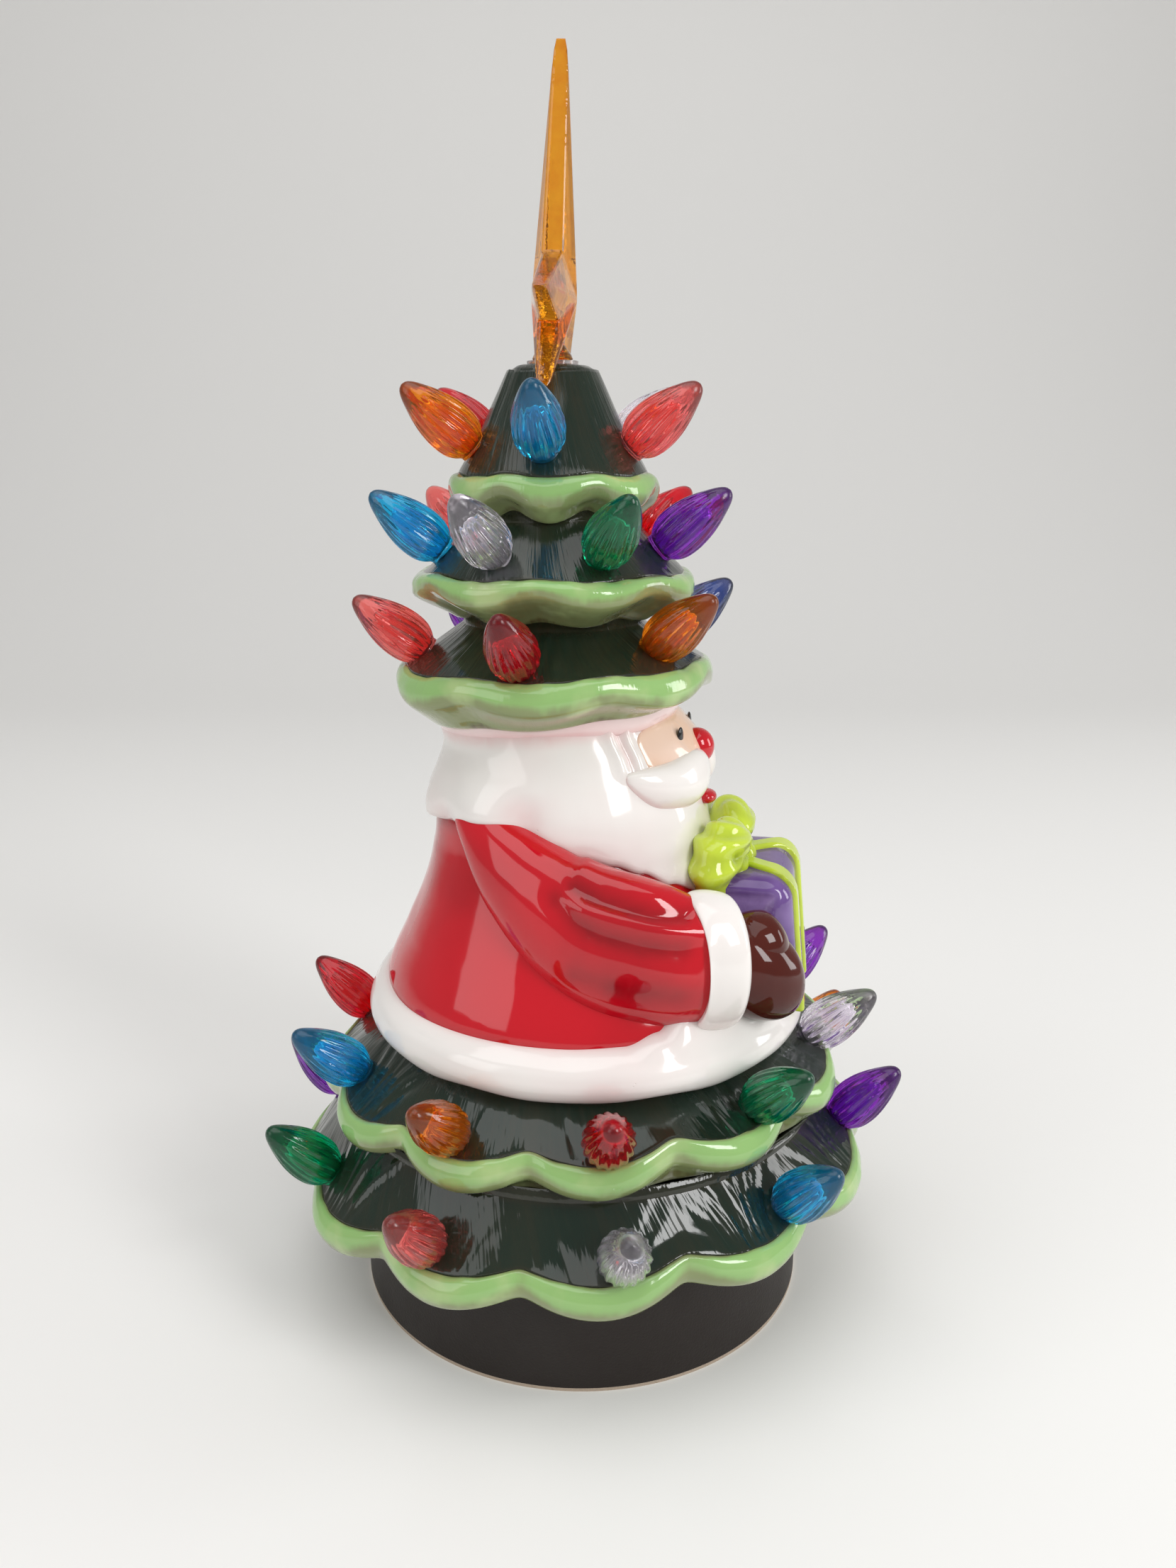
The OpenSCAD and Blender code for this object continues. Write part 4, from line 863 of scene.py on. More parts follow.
# The colour at each angle round a tier
BULB_PLACES = {
    "tier_1": {119: "amber", 185: "blue", 261: "coral", 313: "clear", 6: "green", 66: "red"},
    "tier_2": {112: "blue", 163.4: "clear", 214.9: "green", 266.3: "purple", 317.7: "red", 9.1: "amber",
               60.6: "coral"},
    "tier_3": {111: "coral", 178: "red", 244: "amber", 295: "navy", 351: "green", 48: "purple"},
    "tier_4": {196: "red", 232: "green", 268: "clear", 304: "purple", 340: "amber", 16: "blue", 52: "clear",
               88: "red", 124: "blue", 163: "amber"},
    "tier_5": {198: "clear", 234: "blue", 270: "purple", 306: "amber", 342: "green", 18: "red", 54: "navy",
               90: "purple", 126: "green", 162: "coral"},
}
# Outline of a bulb and of its hollow as (share of the length, share of the radius)
BULB_OUTLINE = [(0, 0.62), (0.04, 0.63), (0.09, 0.78), (0.17, 0.93), (0.28, 1), (0.42, 0.99), (0.56, 0.90),
                (0.70, 0.74), (0.82, 0.56), (0.92, 0.38), (0.98, 0.20), (1, 0)]
HOLLOW_OUTLINE = [(0.03, 0), (0.03, 0.30), (0.12, 0.48), (0.28, 0.58), (0.44, 0.52), (0.58, 0.36),
                  (0.66, 0.16), (0.70, 0)]
PEG = [(0, -PEG_L), (PEG_D / 2, -PEG_L), (PEG_D / 2, 0)]


def flute(around, share):
    """0 on a rib and 1 in the groove beside it."""
    return 0.5 - 0.5 * math.cos(math.radians(FLUTES * (around + BULB_TWIST * share)))


def bulb_skin(around, row):
    if row < len(PEG):
        return ring_point(around, *PEG[row]), 0.0
    share, swelled = smooth_between(BULB_OUTLINE, (row - len(PEG)) / SKIN_ROWS)
    fade = soft_step(share, 0.03, 0.12) * (1 - soft_step(share, 0.55, 0.86))
    r = max(BULB_D / 2 * swelled * (1 - FLUTE_DEPTH * fade * flute(around, share)), 0)
    return ring_point(around, r, (BULB_L + BULB_SINK) * min(share, 1)), soft_step(share, 0.78, 0.98)


def bulb_hollow(around, row):
    share, swelled = smooth_between(HOLLOW_OUTLINE, row / HOLLOW_ROWS)
    depth = INNER_FLUTE_DEPTH * flute(around, share) * soft_step(share, 0.03, 0.2)
    r = max(BULB_D / 2 * swelled * (1 - depth), 0)
    return ring_point(around, r, (BULB_L + BULB_SINK) * share), 0.0


def add_mesh(bm, other, matrix=None):
    """Adds another bmesh to this one, moved by a matrix."""
    if matrix is not None:
        bmesh.ops.transform(other, matrix=matrix, verts=other.verts)
    spare = bpy.data.meshes.new("spare")
    other.to_mesh(spare)
    other.free()
    bm.from_mesh(spare)
    bpy.data.meshes.remove(spare)


def make_bulb():
    """One bulb standing on the origin. The hollow's faces look into the hollow."""
    bm = tube(len(PEG) + SKIN_ROWS + 1, BULB_STEPS, bulb_skin, closed=False, merge=0.001)
    hollow = tube(HOLLOW_ROWS + 1, BULB_STEPS // 2, bulb_hollow, closed=False, merge=0.001)
    bmesh.ops.reverse_faces(hollow, faces=hollow.faces)
    add_mesh(bm, hollow)
    spare = bpy.data.meshes.new("bulb")
    bm.to_mesh(spare)
    bm.free()
    return spare


def bulb_seat(tier, around, share):
    """Where a bulb stands on its tier's slope, in mm."""
    low = 1 if share < SLOPE_SHARES[2][0] else 2
    start, end = SLOPE_SHARES[low], SLOPE_SHARES[low + 1]
    k = (share - start[0]) / (end[0] - start[0])
    down, out, lobes = (a + (b - a) * k for a, b in zip(start, end))
    neck_r, neck_z, _ = tier["neck"]
    rim_r, rim_z, rim_rise = tier["rim"]
    r = neck_r + (rim_r - RIM_REACH - neck_r) * out
    z = neck_z + (rim_z + RIM_H / 2 - neck_z) * down
    return tier_point(tier, around, r, z, rim_rise * out, lobes * tier["edge"])


def bulb_matrix(name, around):
    """Moves the bulb to its seat, leans it out and sinks its foot a little."""
    seat = bulb_seat(TIERS[name], around, HIGH_BULBS.get((name, around), BULB_SHARES[name]))
    heading = math.atan2(seat[1] - TIERS[name]["mid"], seat[0])
    lean = math.radians(90 - BULB_LEANS[name])
    return (
        Matrix.Translation(Vector(seat) * MM) @ Matrix.Rotation(heading, 4, "Z")
        @ Matrix.Rotation(lean, 4, "Y") @ Matrix.Translation((0, 0, -BULB_SINK * MM))
    )


one_bulb = make_bulb()
for colour in BULB_COLOURS:
    bm = bmesh.new()
    for name, places in BULB_PLACES.items():
        for around, shade in places.items():
            if shade == colour:
                copy = bmesh.new()
                copy.from_mesh(one_bulb)
                add_mesh(bm, copy, bulb_matrix(name, around))
    finish_piece(f"fluted_bulbs_{colour}", bm, f"bulbs_{colour}")
bpy.data.meshes.remove(one_bulb)

# %% [markdown]
# ## The star
#
# The star is one thick moulding with a ridge down each ray. Its facets are flat and its edges barely rounded,
# which is what throws the long bright lines. Bevelling the edges of a plain faceted star gives exactly that.

# %% Star
STAR_SEAT_Z = 248.4
STAR_RISE, STAR_LEAN, STAR_TURN, STAR_T = 14.2, 1.9, 6.5, 11.6
STAR_REACH = {"top": 57.5, "side": 34.0, "leg": 30.0}
STAR_TIP_SHARE, STAR_WAIST_SHARE = 0.28, 0.42
STAR_PEG_R, STAR_PEG_L, STAR_FOOT_R, STAR_FOOT_T = 3.0, 11.0, 4.6, 1.6
STAR_ROUND = 0.6
# The outline from the top point round, as (angle, which length, share of that length)
STAR_RAYS = [(90, "top", 1), (126, "side", 0.36), (181, "side", 1), (207, "side", 0.38), (225, "leg", 1),
             (270, "side", 0.25), (315, "leg", 1), (333, "side", 0.38), (-1, "side", 1), (54, "side", 0.36)]
# The peg and its foot as (radius, height over the seat)
STAR_PEG_FOOT = CROWN_Z - STAR_PEG_L - STAR_SEAT_Z
STAR_PEG = [
    (0, STAR_PEG_FOOT), (2.2, STAR_PEG_FOOT), (STAR_PEG_R, STAR_PEG_FOOT + 0.8), (STAR_PEG_R, -0.05),
    (STAR_FOOT_R, 0), (STAR_FOOT_R + 0.5, 0.5), (STAR_FOOT_R, STAR_FOOT_T), (STAR_PEG_R, STAR_FOOT_T + 2.2),
    (STAR_PEG_R, STAR_RISE), (0, STAR_RISE),
]


def make_star():
    bm = bmesh.new()
    bm.verts.layers.float.new("wash_and_shading")
    front, back = [], []
    for angle, length, share in STAR_RAYS:
        r = STAR_REACH[length] * share
        half = STAR_T / 2 * (STAR_TIP_SHARE if share == 1 else STAR_WAIST_SHARE)
        x, z = r * math.cos(math.radians(angle)), r * math.sin(math.radians(angle))
        front.append(bm.verts.new(Vector((x, -half, z)) * MM))
        back.append(bm.verts.new(Vector((x, half, z)) * MM))
    middles = [bm.verts.new((0, side * STAR_T / 2 * MM, 0)) for side in (-1, 1)]
    for k in range(len(STAR_RAYS)):
        n = (k + 1) % len(STAR_RAYS)
        bm.faces.new((middles[0], front[n], front[k]))
        bm.faces.new((middles[1], back[k], back[n]))
        bm.faces.new((front[k], front[n], back[n], back[k]))
    bmesh.ops.recalc_face_normals(bm, faces=bm.faces)
    bmesh.ops.bevel(
        bm, geom=list(bm.edges), offset=STAR_ROUND * MM, segments=2, profile=0.5, affect="EDGES",
        material=-1, clamp_overlap=True
    )
    return bm


def star_peg(around, row):
    r, rise = STAR_PEG[row]
    return ring_point(around, r, STAR_SEAT_Z + rise, TREE_BACK), 0.0


star = make_star()
bmesh.ops.transform(star, verts=star.verts, matrix=(
    Matrix.Translation(Vector((0, TREE_BACK, STAR_SEAT_Z)) * MM)
    @ Matrix.Rotation(math.radians(STAR_TURN), 4, "Z") @ Matrix.Rotation(math.radians(STAR_LEAN), 4, "X")
    @ Matrix.Translation((0, 0, STAR_RISE * MM))
))
add_mesh(star, tube(len(STAR_PEG), 48, star_peg, closed=False, merge=0.001))
star_piece = finish_piece("faceted_star", star, "star_topper")
for face in star_piece.data.polygons:
    face.use_smooth = False

# %% [markdown]
# ## The figure's body
#
# Hair, coat and hem are reliefs on one egg-shaped body, so all three read their radius from the same body
# curve and differ only in how far they stand proud. That keeps the colour borders on the surface, as on the
# casting. Angles below are measured from the back of the figure round to its face, the same on both sides.

# %% Body curve and border lines
COAT_Z, COAT_R = 90.0, 53.5
HEM_H = 14.0
FIGURE_STEPS = 420
# The body's outline as (height, half width, half depth, middle in Y), from the brim down to the hem
BODY = [
    (172.0, 29.6, 29.6, 7.4), (166.0, 30.5, 30.5, 7.2), (159.5, 31.2, 31.0, 6.9), (153.5, 32.8, 32.2, 4.6),
    (147.4, 35.0, 34.3, 4.1), (140.1, 36.2, 36.0, 3.6), (132.0, 36.2, 36.5, 3.0), (126.0, 37.2, 37.6, 2.6),
    (115.9, 42.6, 41.0, 1.6), (104.4, 47.5, 46.6, 0.9), (COAT_Z, COAT_R, COAT_R, 0),
]
# The border of hair and coat as (angle from the back, height)
HAIR_BORDER = [
    (0, 132.5), (12, 132.0), (20, 134.6), (36, 136.0), (46, 136.4), (60, 138.6), (74, 138.8), (85, 136.6),
    (96, 134.0), (106, 131.2), (117, 129.2), (128, 126.8), (140, 123.0), (155, 119.5), (180, 117.0),
]
# Under the hat the figure's edges rise towards the face, as the foot of the tier above them does
HAT_RISE = TIERS["tier_3"]["foot"][2]


def body_at(z):
    """Half width, half depth and middle of the body at a height."""
    below = next((k for k in range(len(BODY) - 1) if BODY[k + 1][0] <= z), len(BODY) - 2)
    t = min(max((BODY[below][0] - z) / (BODY[below][0] - BODY[below + 1][0]), 0), 1)
    return smooth_between(BODY, (below + t) / (len(BODY) - 1))[1:]


def from_back(around):
    return abs(angle_gap(around, 90))


def at_border(line, angle):
    """The value of a border line of (angle, value) pairs at an angle, smoothly."""
    for (a, low), (b, high) in zip(line, line[1:]):
        if angle <= b:
            return low + (high - low) * soft_step(angle, a, b)
    return line[-1][1]


def on_body(around, z, proud):
    across, deep, middle = body_at(z)
    turn = math.radians(around)
    return (across + proud) * math.cos(turn), middle + (deep + proud) * math.sin(turn), z


print("body at the hem, brow and brim:", [[round(v, 1) for v in body_at(z)] for z in (90, 150, 166)])

# %% [markdown]
# ### Hair and beard
#
# The hair falls in a few big soft locks. Each valley between two locks is a bell-shaped dip at one angle that
# fades upwards, and the lower edge rolls under onto the coat. The valleys also set the wash: a painted pink
# shade and reflection lies in them, as it does under the brim and along the rolled lower edge.

# %% Hair and beard
HAIR_ROWS, HAIR_TOP = 56, 168.0
# Valleys and raised locks as (angle from the back, width in degrees, top, depth or height), in mm
VALLEYS = [(13, 4.5, 146, 2.5), (45, 7, 143, 1.9), (84, 8, 149, 1.7), (108, 9, 136, 0.8)]
LOCKS = [(5, 8, 147, 1.2), (29, 11, 146, 1.3), (64, 13, 148, 1.6)]
# The short locks beside the cheek, as (angle from the back, width, depth or height), and where they end
SIDEBURN_VALLEY, SIDEBURN_LOCKS = (131.5, 2.6, 0.6), [(127.0, 3.2, 0.9), (135.5, 2.8, 0.9)]
SIDEBURN_FOOT = 152.0
BEARD_SWELL, HAIR_EDGE, VALLEY_PINK_SHADE = 1.3, 1.5, 0.42


def hair_relief(angle, z):
    """How far the hair stands out, and how much painted pink shade lies on it."""
    dips = [(at, width, depth, 1 - soft_step(z, top - 9, top)) for at, width, top, depth in VALLEYS]
    dips.append((*SIDEBURN_VALLEY, soft_step(z, SIDEBURN_FOOT - 3, SIDEBURN_FOOT + 2)))
    rises = [(at, width, height, 1 - soft_step(z, top - 8, top + 4)) for at, width, top, height in LOCKS]
    rises += [(*lock, soft_step(z, SIDEBURN_FOOT - 4, SIDEBURN_FOOT)) for lock in SIDEBURN_LOCKS]
    relief, pink_shade = BEARD_SWELL * bell(angle, 152, 12) * bell(z, 137, 9), 0.0
    for middle, width, height, fade in rises:
        relief += height * bell(angle, middle, width) * fade
    for middle, width, depth, fade in dips:
        dip = bell(angle, middle, width) * fade
        relief -= depth * dip
        # Painted pink shade in the valleys between the locks.
        pink_shade += VALLEY_PINK_SHADE * dip
    return relief, pink_shade


def hair_place(around, row):
    angle = from_back(around)
    top = HAIR_TOP - HAT_RISE * math.sin(math.radians(around))
    border = at_border(HAIR_BORDER, angle)
    if row > HAIR_ROWS:
        return on_body(around, [border - 1.0, 150, top][row - HAIR_ROWS - 1], -WALL), 0.3
    share = row / HAIR_ROWS
    z = top + (border - top) * min(share / 0.93, 1)
    roll = soft_step(share, 0.90, 1.0)
    relief, pink_shade = hair_relief(angle, z)
    edge = HAIR_EDGE * soft_step(share, 0.45, 0.86)
    point = on_body(around, z - 1.1 * roll, relief + edge - (edge + 1.3) * roll)
    # Painted pink shade under the brim and along the rolled lower edge.
    pink_shade += 0.75 * soft_step(z, top - 12, top - 7.5) + 0.35 * soft_step(share, 0.93, 1.0)
    return point, min(pink_shade, 1)


finish_piece("hair_and_beard", tube(HAIR_ROWS + 4, FIGURE_STEPS, hair_place), "head_shell")

# %% [markdown]
# ### Coat and hem
#
# The coat is a smooth wall with a few slow hollows. The thick hem rolls out under it, a little wavy along its
# lower edge, and its white glaze runs up towards the cuffs in a puddle, as it did on the real one.

# %% Coat and hem
COAT_ROWS, HEM_ROWS = 40, 24
HEM_LINE = [(0, 89.5), (60, 89.0), (96, 89.2), (112, 89.6), (121, 92.0), (128, 96.5), (135, 99.0), (180, 99.0)]
# The hem's outline as (height above its foot, how far it stands out from the foot of the coat)
HEM_OUTLINE = [(14.0, 0.4), (12.9, 2.6), (10.9, 4.4), (8.5, 5.8), (5.6, 6.3), (3.0, 5.4), (1.1, 3.4),
               (0.2, 0.9), (0, -2.0)]
HEM_WAVE, HEM_BACK = 0.7, -1.2


def coat_place(around, row):
    angle = from_back(around)
    top, foot = at_border(HAIR_BORDER, angle) + 2.0, at_border(HEM_LINE, angle) - 1.6
    if row > COAT_ROWS:
        return on_body(around, [foot, 108, top][row - COAT_ROWS - 1], -WALL), 0.2
    share = row / COAT_ROWS
    z = top + (foot - top) * share
    tuck = -1.0 * (1 - soft_step(share, 0.0, 0.08))
    hollow = -0.5 * bell(angle, 22, 12) * bell(z, 112, 16) + 0.5 * bell(angle, 45, 14) * bell(z, 104, 14)
    hollow += 0.35 * ring_noise(around, 2, z * 0.04)
    # Painted shade: the red is darker at the top under the hair and at the foot above the hem.
    thin_and_shaded = 0.7 * (1 - soft_step(share, 0.03, 0.14)) + 0.3 * soft_step(share, 0.93, 1)
    return on_body(around, z, tuck + hollow), thin_and_shaded


def hem_place(around, row):
    """The upper rows climb to the hem's line at the cuffs, and the lower ones wave a little."""
    line = at_border(HEM_LINE, from_back(around))
    if row > HEM_ROWS:
        return ring_point(around, *[(49.5, HEM_Z), (49.0, line)][row - HEM_ROWS - 1]), 0.3
    share = row / HEM_ROWS
    rise, proud = smooth_between(HEM_OUTLINE, share)
    z = HEM_Z + rise
    if rise > 9.5:
        z += (line - (HEM_Z + HEM_H)) * soft_step(rise, 9.5, 13.5)
    wave = 0.5 * math.sin(math.radians(9 * around + 40)) + 0.35 * math.sin(math.radians(14 * around))
    wall = COAT_R if z < COAT_Z else body_at(z)[0]
    r = wall + proud + (0.35 * wave if 1 < rise < 12 else 0)
    z += HEM_WAVE * wave * (1 - soft_step(rise, 0.5, 6)) * (rise > 0.1)
    # Painted pink shade in the crease under the coat and on the hem's underside.
    pink_shade = 0.30 * soft_step(share, 0.55, 0.85) + 0.25 * (1 - soft_step(share, 0.0, 0.08))
    return ring_point(around, r, z, HEM_BACK * math.sin(math.pi * share)), pink_shade


finish_piece("coat_body", tube(COAT_ROWS + 4, FIGURE_STEPS, coat_place), "coat_shell")
finish_piece("fur_hem", tube(HEM_ROWS + 3, FIGURE_STEPS, hem_place), "coat_hem")

# %% [markdown]
# ### The brim
#
# A soft pale pink band of the hat shows under the rim of the tier and thickens towards the face.

# %% Brim
BRIM_ROWS, BRIM_TOP = 12, 166.5


def brim_place(around, row):
    angle = from_back(around)
    top = BRIM_TOP - HAT_RISE * math.sin(math.radians(around))
    height = 5.0 + 2.4 * soft_step(angle, 90, 150)
    if row > BRIM_ROWS:
        return on_body(around, top - 0.5 * height, -1.6), 0.3
    share = row / BRIM_ROWS
    roll = math.sin(math.pi * min(share * 1.02, 1)) ** 0.7
    proud = -0.4 + (1.5 + 1.1 * soft_step(angle, 95, 150)) * roll
    # Painted shade along the brim's upper and lower edges.
    pink_shade = 0.35 * soft_step(share, 0.72, 1) + 0.3 * (1 - soft_step(share, 0.1, 0.4))
    return on_body(around, top - (2.0 + height) * share, proud), pink_shade


finish_piece("hat_brim", tube(BRIM_ROWS + 2, FIGURE_STEPS, brim_place), "hat_band")

# %% [markdown]
# ## Arms, face and moustache
#
# These forms follow a line in space, so the same tube is bent along a path: each row is a soft oval round one
# point of the path. Folds are lines on the sleeve, and the surface rises where it is near one of them.

# %% Bent tubes
def bent_tube(path, rows, steps, relief, blunt, side):
    """A tube along (x, y, z, half across, half up) points. Its ends are rounded over the shares of its length
    that blunt gives, and side -1 mirrors it in X."""
    def place(around, row):
        share = row / (rows - 1)
        x, y, z, across, up = smooth_between(path, share)
        ahead = smooth_between(path, min(share + 0.01, 1))
        behind = smooth_between(path, max(share - 0.01, 0))
        heading = math.atan2(ahead[1] - behind[1], ahead[0] - behind[0])
        full = 1.0
        for end, width in zip((share, 1 - share), blunt):
            t = min(end / width, 1)
            full *= math.sqrt(max(t * (2 - t), 0))
        turn = math.radians(around)
        ways = (-math.sin(heading) * math.cos(turn), math.cos(heading) * math.cos(turn), math.sin(turn))
        out, lift = across * full * math.cos(turn), up * full * math.sin(turn)
        point = [x - out * math.sin(heading), y + out * math.cos(heading), z + lift]
        push, thin_and_shaded = relief(point, share, around)
        x, y, z = (c + push * way for c, way in zip(point, ways))
        return (side * x, y, z), thin_and_shaded

    return tube(rows, steps, place, closed=False, merge=0.001)


def near_line(y, z, line, width):
    """1 on a line of (y, z) points and fading to 0 beside it."""
    best = math.inf
    for (y0, z0), (y1, z1) in zip(line, line[1:]):
        dy, dz = y1 - y0, z1 - z0
        along = min(max(((y - y0) * dy + (z - z0) * dz) / (dy ** 2 + dz ** 2), 0), 1)
        best = min(best, math.hypot(y - y0 - along * dy, z - z0 - along * dz))
    return math.exp(-(best / width) ** 2)


def underside(around, low, high):
    """1 under a bent tube and 0 on top of it."""
    return soft_step(-math.sin(math.radians(around)), low, high)


def scaled(shares, r, z):
    """A path that is written as shares of a radius, from a height."""
    return [(r * a, r * b, z + r * c, r * d, r * e) for a, b, c, d, e in shares]


# %% [markdown]
# ### Sleeves, cuffs and mittens
#
# The paths of the arms are shares of the coat's radius, as in the solids, so they would follow a wider coat.
# A sleeve's folds are lines with a width and a height, ridges and valleys by turns. The cuff's border with
# the sleeve bulges forward, and the far hand sits a little lower than the near one.

# %% Arms
# Each path as shares of the coat's radius: x, y, height over the coat's foot, half across and half up
WRIST = (0.68, -0.626, 0.327, 0.212, 0.305)
SLEEVE = [
    (0.40, 0.47, 0.99, 0.12, 0.12), (0.52, 0.34, 0.83, 0.155, 0.19), (0.635, 0.20, 0.665, 0.175, 0.27),
    (0.72, 0, 0.515, 0.208, 0.335), (0.757, -0.22, 0.412, 0.225, 0.348), (0.74, -0.45, 0.362, 0.218, 0.335),
    WRIST, (0.62, -0.73, 0.32, 0.205, 0.285),
]
CUFF = [
    (0.7, -0.585, 0.33, 0.16, 0.25), (0.69, -0.605, 0.327, 0.214, 0.304), (0.672, -0.655, 0.322, 0.236, 0.328),
    (0.64, -0.735, 0.316, 0.24, 0.33), (0.606, -0.80, 0.31, 0.222, 0.31), (0.59, -0.825, 0.307, 0.16, 0.25),
]
MITTEN = [
    (0.600, -0.79, 0.285, 0.14, 0.19), (0.58, -0.852, 0.27, 0.18, 0.235), (0.542, -0.93, 0.240, 0.198, 0.235),
    (0.497, -1.00, 0.212, 0.186, 0.215), (0.452, -1.06, 0.194, 0.15, 0.172), (0.415, -1.10, 0.187, 0.09, 0.11),
]
THUMB = [(0.60, -0.82, 0.35, 0.13, 0.14), (0.565, -0.885, 0.375, 0.15, 0.15),
         (0.52, -0.975, 0.375, 0.145, 0.145), (0.475, -1.055, 0.345, 0.10, 0.11)]
# Folds as a line of (y, z) points, its width and its height, in mm
FOLDS = [
    ([(-9, 131.2), (-14, 129.4), (-20, 127.8), (-27, 126.0), (-34, 125.2)], 1.9, 1.2),
    ([(-7, 128.6), (-12, 126.2), (-18, 124.4), (-26, 122.4), (-33, 121.6)], 1.7, -1.0),
    ([(-10, 123.6), (-20, 121.2), (-30, 118.8), (-38, 117.8)], 2.1, 1.1),
    ([(-3, 125.2), (-8, 120.8), (-14, 118.0), (-24, 115.6), (-33, 114.4)], 2.2, -0.9),
    ([(-12, 114.2), (-19.6, 112.3), (-28, 109.0), (-36, 106.5)], 3.2, 0.6),
    ([(-8, 107.5), (-20, 104.5), (-32, 102.5)], 3.0, -0.45),
]
CUFF_Z, CUFF_HALF, CUFF_BULGE, CUFF_BACK = 107.0, 17.5, 5.0, (-42, -33)
FAR_HAND = (0, 2.4, -3.0)


def sleeve_relief(point, share, around):
    near = [(near_line(point[1], point[2], line, width), height) for line, width, height in FOLDS]
    push = sum(height * k for k, height in near) * soft_step(share, 0.12, 0.3)
    dip = sum(k for k, height in near if height < 0)
    # Painted shade: darker red in the fold valleys and on the underside.
    return push, min(0.5 * dip + 0.5 * underside(around, 0.55, 0.95), 1)


def plain_relief(point, share, around):
    # Painted shade on the underside of the cuffs, mittens and thumbs.
    return 0.25 * noise.noise(Vector(point) * 0.09), 0.3 * underside(around, 0.3, 1.0)


def arm_tube(shares, rows, steps, relief, blunt, side):
    return bent_tube(scaled(shares, COAT_R, COAT_Z), rows, steps, relief, blunt, side)


for side, name in ((-1, "right"), (1, "left")):
    sleeve = arm_tube(SLEEVE, 90, 120, sleeve_relief, (0.1, 0.02), side)
    finish_piece(f"sleeve_{name}_folded", sleeve, f"sleeve_{name}")
    cuff = arm_tube(CUFF, 40, 96, plain_relief, (0.2, 0.2), side)
    for vert in cuff.verts:
        height = (vert.co.z / MM - CUFF_Z) / CUFF_HALF
        vert.co.y -= CUFF_BULGE * soft_step(vert.co.y / MM, *CUFF_BACK) * max(1 - height * height, 0) * MM
    mitten = arm_tube(MITTEN, 44, 80, plain_relief, (0.02, 0.3), side)
    add_mesh(mitten, arm_tube(THUMB, 30, 60, plain_relief, (0.2, 0.4), side))
    if name == "left":
        for piece in (cuff, mitten):
            bmesh.ops.translate(piece, verts=piece.verts, vec=Vector(FAR_HAND) * MM)
    finish_piece(f"cuff_{name}_fur", cuff, f"cuff_{name}")
    finish_piece(f"mitten_{name}_glazed", mitten, f"mitten_{name}")

# %% [markdown]
# ### Face
#
# The face is a painted patch between the brim and the moustache. A flattened egg would stand off the head at
# its ends, so a sphere is laid out over the body curve instead: it becomes a domed patch with rounded
# corners that ends on the surface all round. A raised ring goes round each eye, and the nose is a glossy red
# button.

# %% Face
HEAD_R = 37.0
# Middle height, half width in degrees, half height and how square the patch is
FACE_Z, FACE_WIDE, FACE_HIGH, FACE_POWER = 154.4, 41, 7.2, 3.0
FACE_FRONT, FACE_CHEEK, FACE_BACK = 4.2, 2.4, 1.2
EYE_TURN, EYE_Z, EYE_PROUD, EYE_DIP = 16.5, 156.8, 3.25, 0.5
EYE_RING_R, EYE_RING_WIDTH, EYE_RING_HEIGHT = 2.9, 0.7, 0.3
# Middles and halves of the small pieces
EYE_HALF = (1.5, 0.6, 2.6)
NOSE, NOSE_HALF = (0, -30.6, 152.4), (5.0, 4.6, 4.9)
LIP, LIP_HALF = (0, -33.4, 139.0), (4.0, 2.8, 1.9)


def unit_sphere(steps):
    bm = bmesh.new()
    layer = bm.verts.layers.float.new("wash_and_shading")
    bmesh.ops.create_uvsphere(bm, u_segments=steps, v_segments=steps // 2, radius=1)
    return bm, layer


def egg(middle, halves, steps=96, shape=None):
    """A sphere scaled to its halves, moved and, where shape says, pushed."""
    bm, layer = unit_sphere(steps)
    for vert in bm.verts:
        point = [m + h * c for m, h, c in zip(middle, halves, vert.co)]
        push, thin_and_shaded = shape(point) if shape else (0.0, 0.0)
        vert.co = Vector([p + push * c for p, c in zip(point, vert.co)]) * MM
        vert[layer] = thin_and_shaded
    bmesh.ops.recalc_face_normals(bm, faces=bm.faces)
    return bm


def eye_relief(angle, z):
    """The hollow that each eye lies in, and the ring round it. The angle is from the face's middle."""
    relief = 0.0
    for side in (-1, 1):
        beside, over = angle - side * EYE_TURN, z - EYE_Z
        reach = math.hypot(math.radians(beside) * HEAD_R, 0.75 * over)
        relief += EYE_RING_HEIGHT * bell(reach, EYE_RING_R, EYE_RING_WIDTH)
        relief -= EYE_DIP * bell(beside, 0, 4.5) * bell(over, 0, 2.6)
    return relief


def face_dome():
    """A domed patch on the head, round at its corners: a sphere laid out over the body curve."""
    bm, layer = unit_sphere(160)
    for vert in bm.verts:
        across, ahead, up = vert.co
        length = math.hypot(across, up)
        if length > 1e-6:
            corner = (abs(across / length) ** FACE_POWER + abs(up / length) ** FACE_POWER) ** (-1 / FACE_POWER)
            across, up = across * corner, up * corner
        z = FACE_Z + FACE_HIGH * up
        if ahead < 0:
            rise = FACE_FRONT * bell(across, 0, 0.55) + FACE_CHEEK * bell(abs(across), 0.62, 0.4)
            proud = rise * (-ahead) ** 0.8 + eye_relief(FACE_WIDE * across, z)
        else:
            proud = -FACE_BACK * ahead
        vert.co = Vector(on_body(270 + FACE_WIDE * across, z, proud)) * MM
        vert[layer] = 0.45 * bell(abs(across), 0.5, 0.25) * bell(up, -0.3, 0.6)
    bmesh.ops.recalc_face_normals(bm, faces=bm.faces)
    return bm


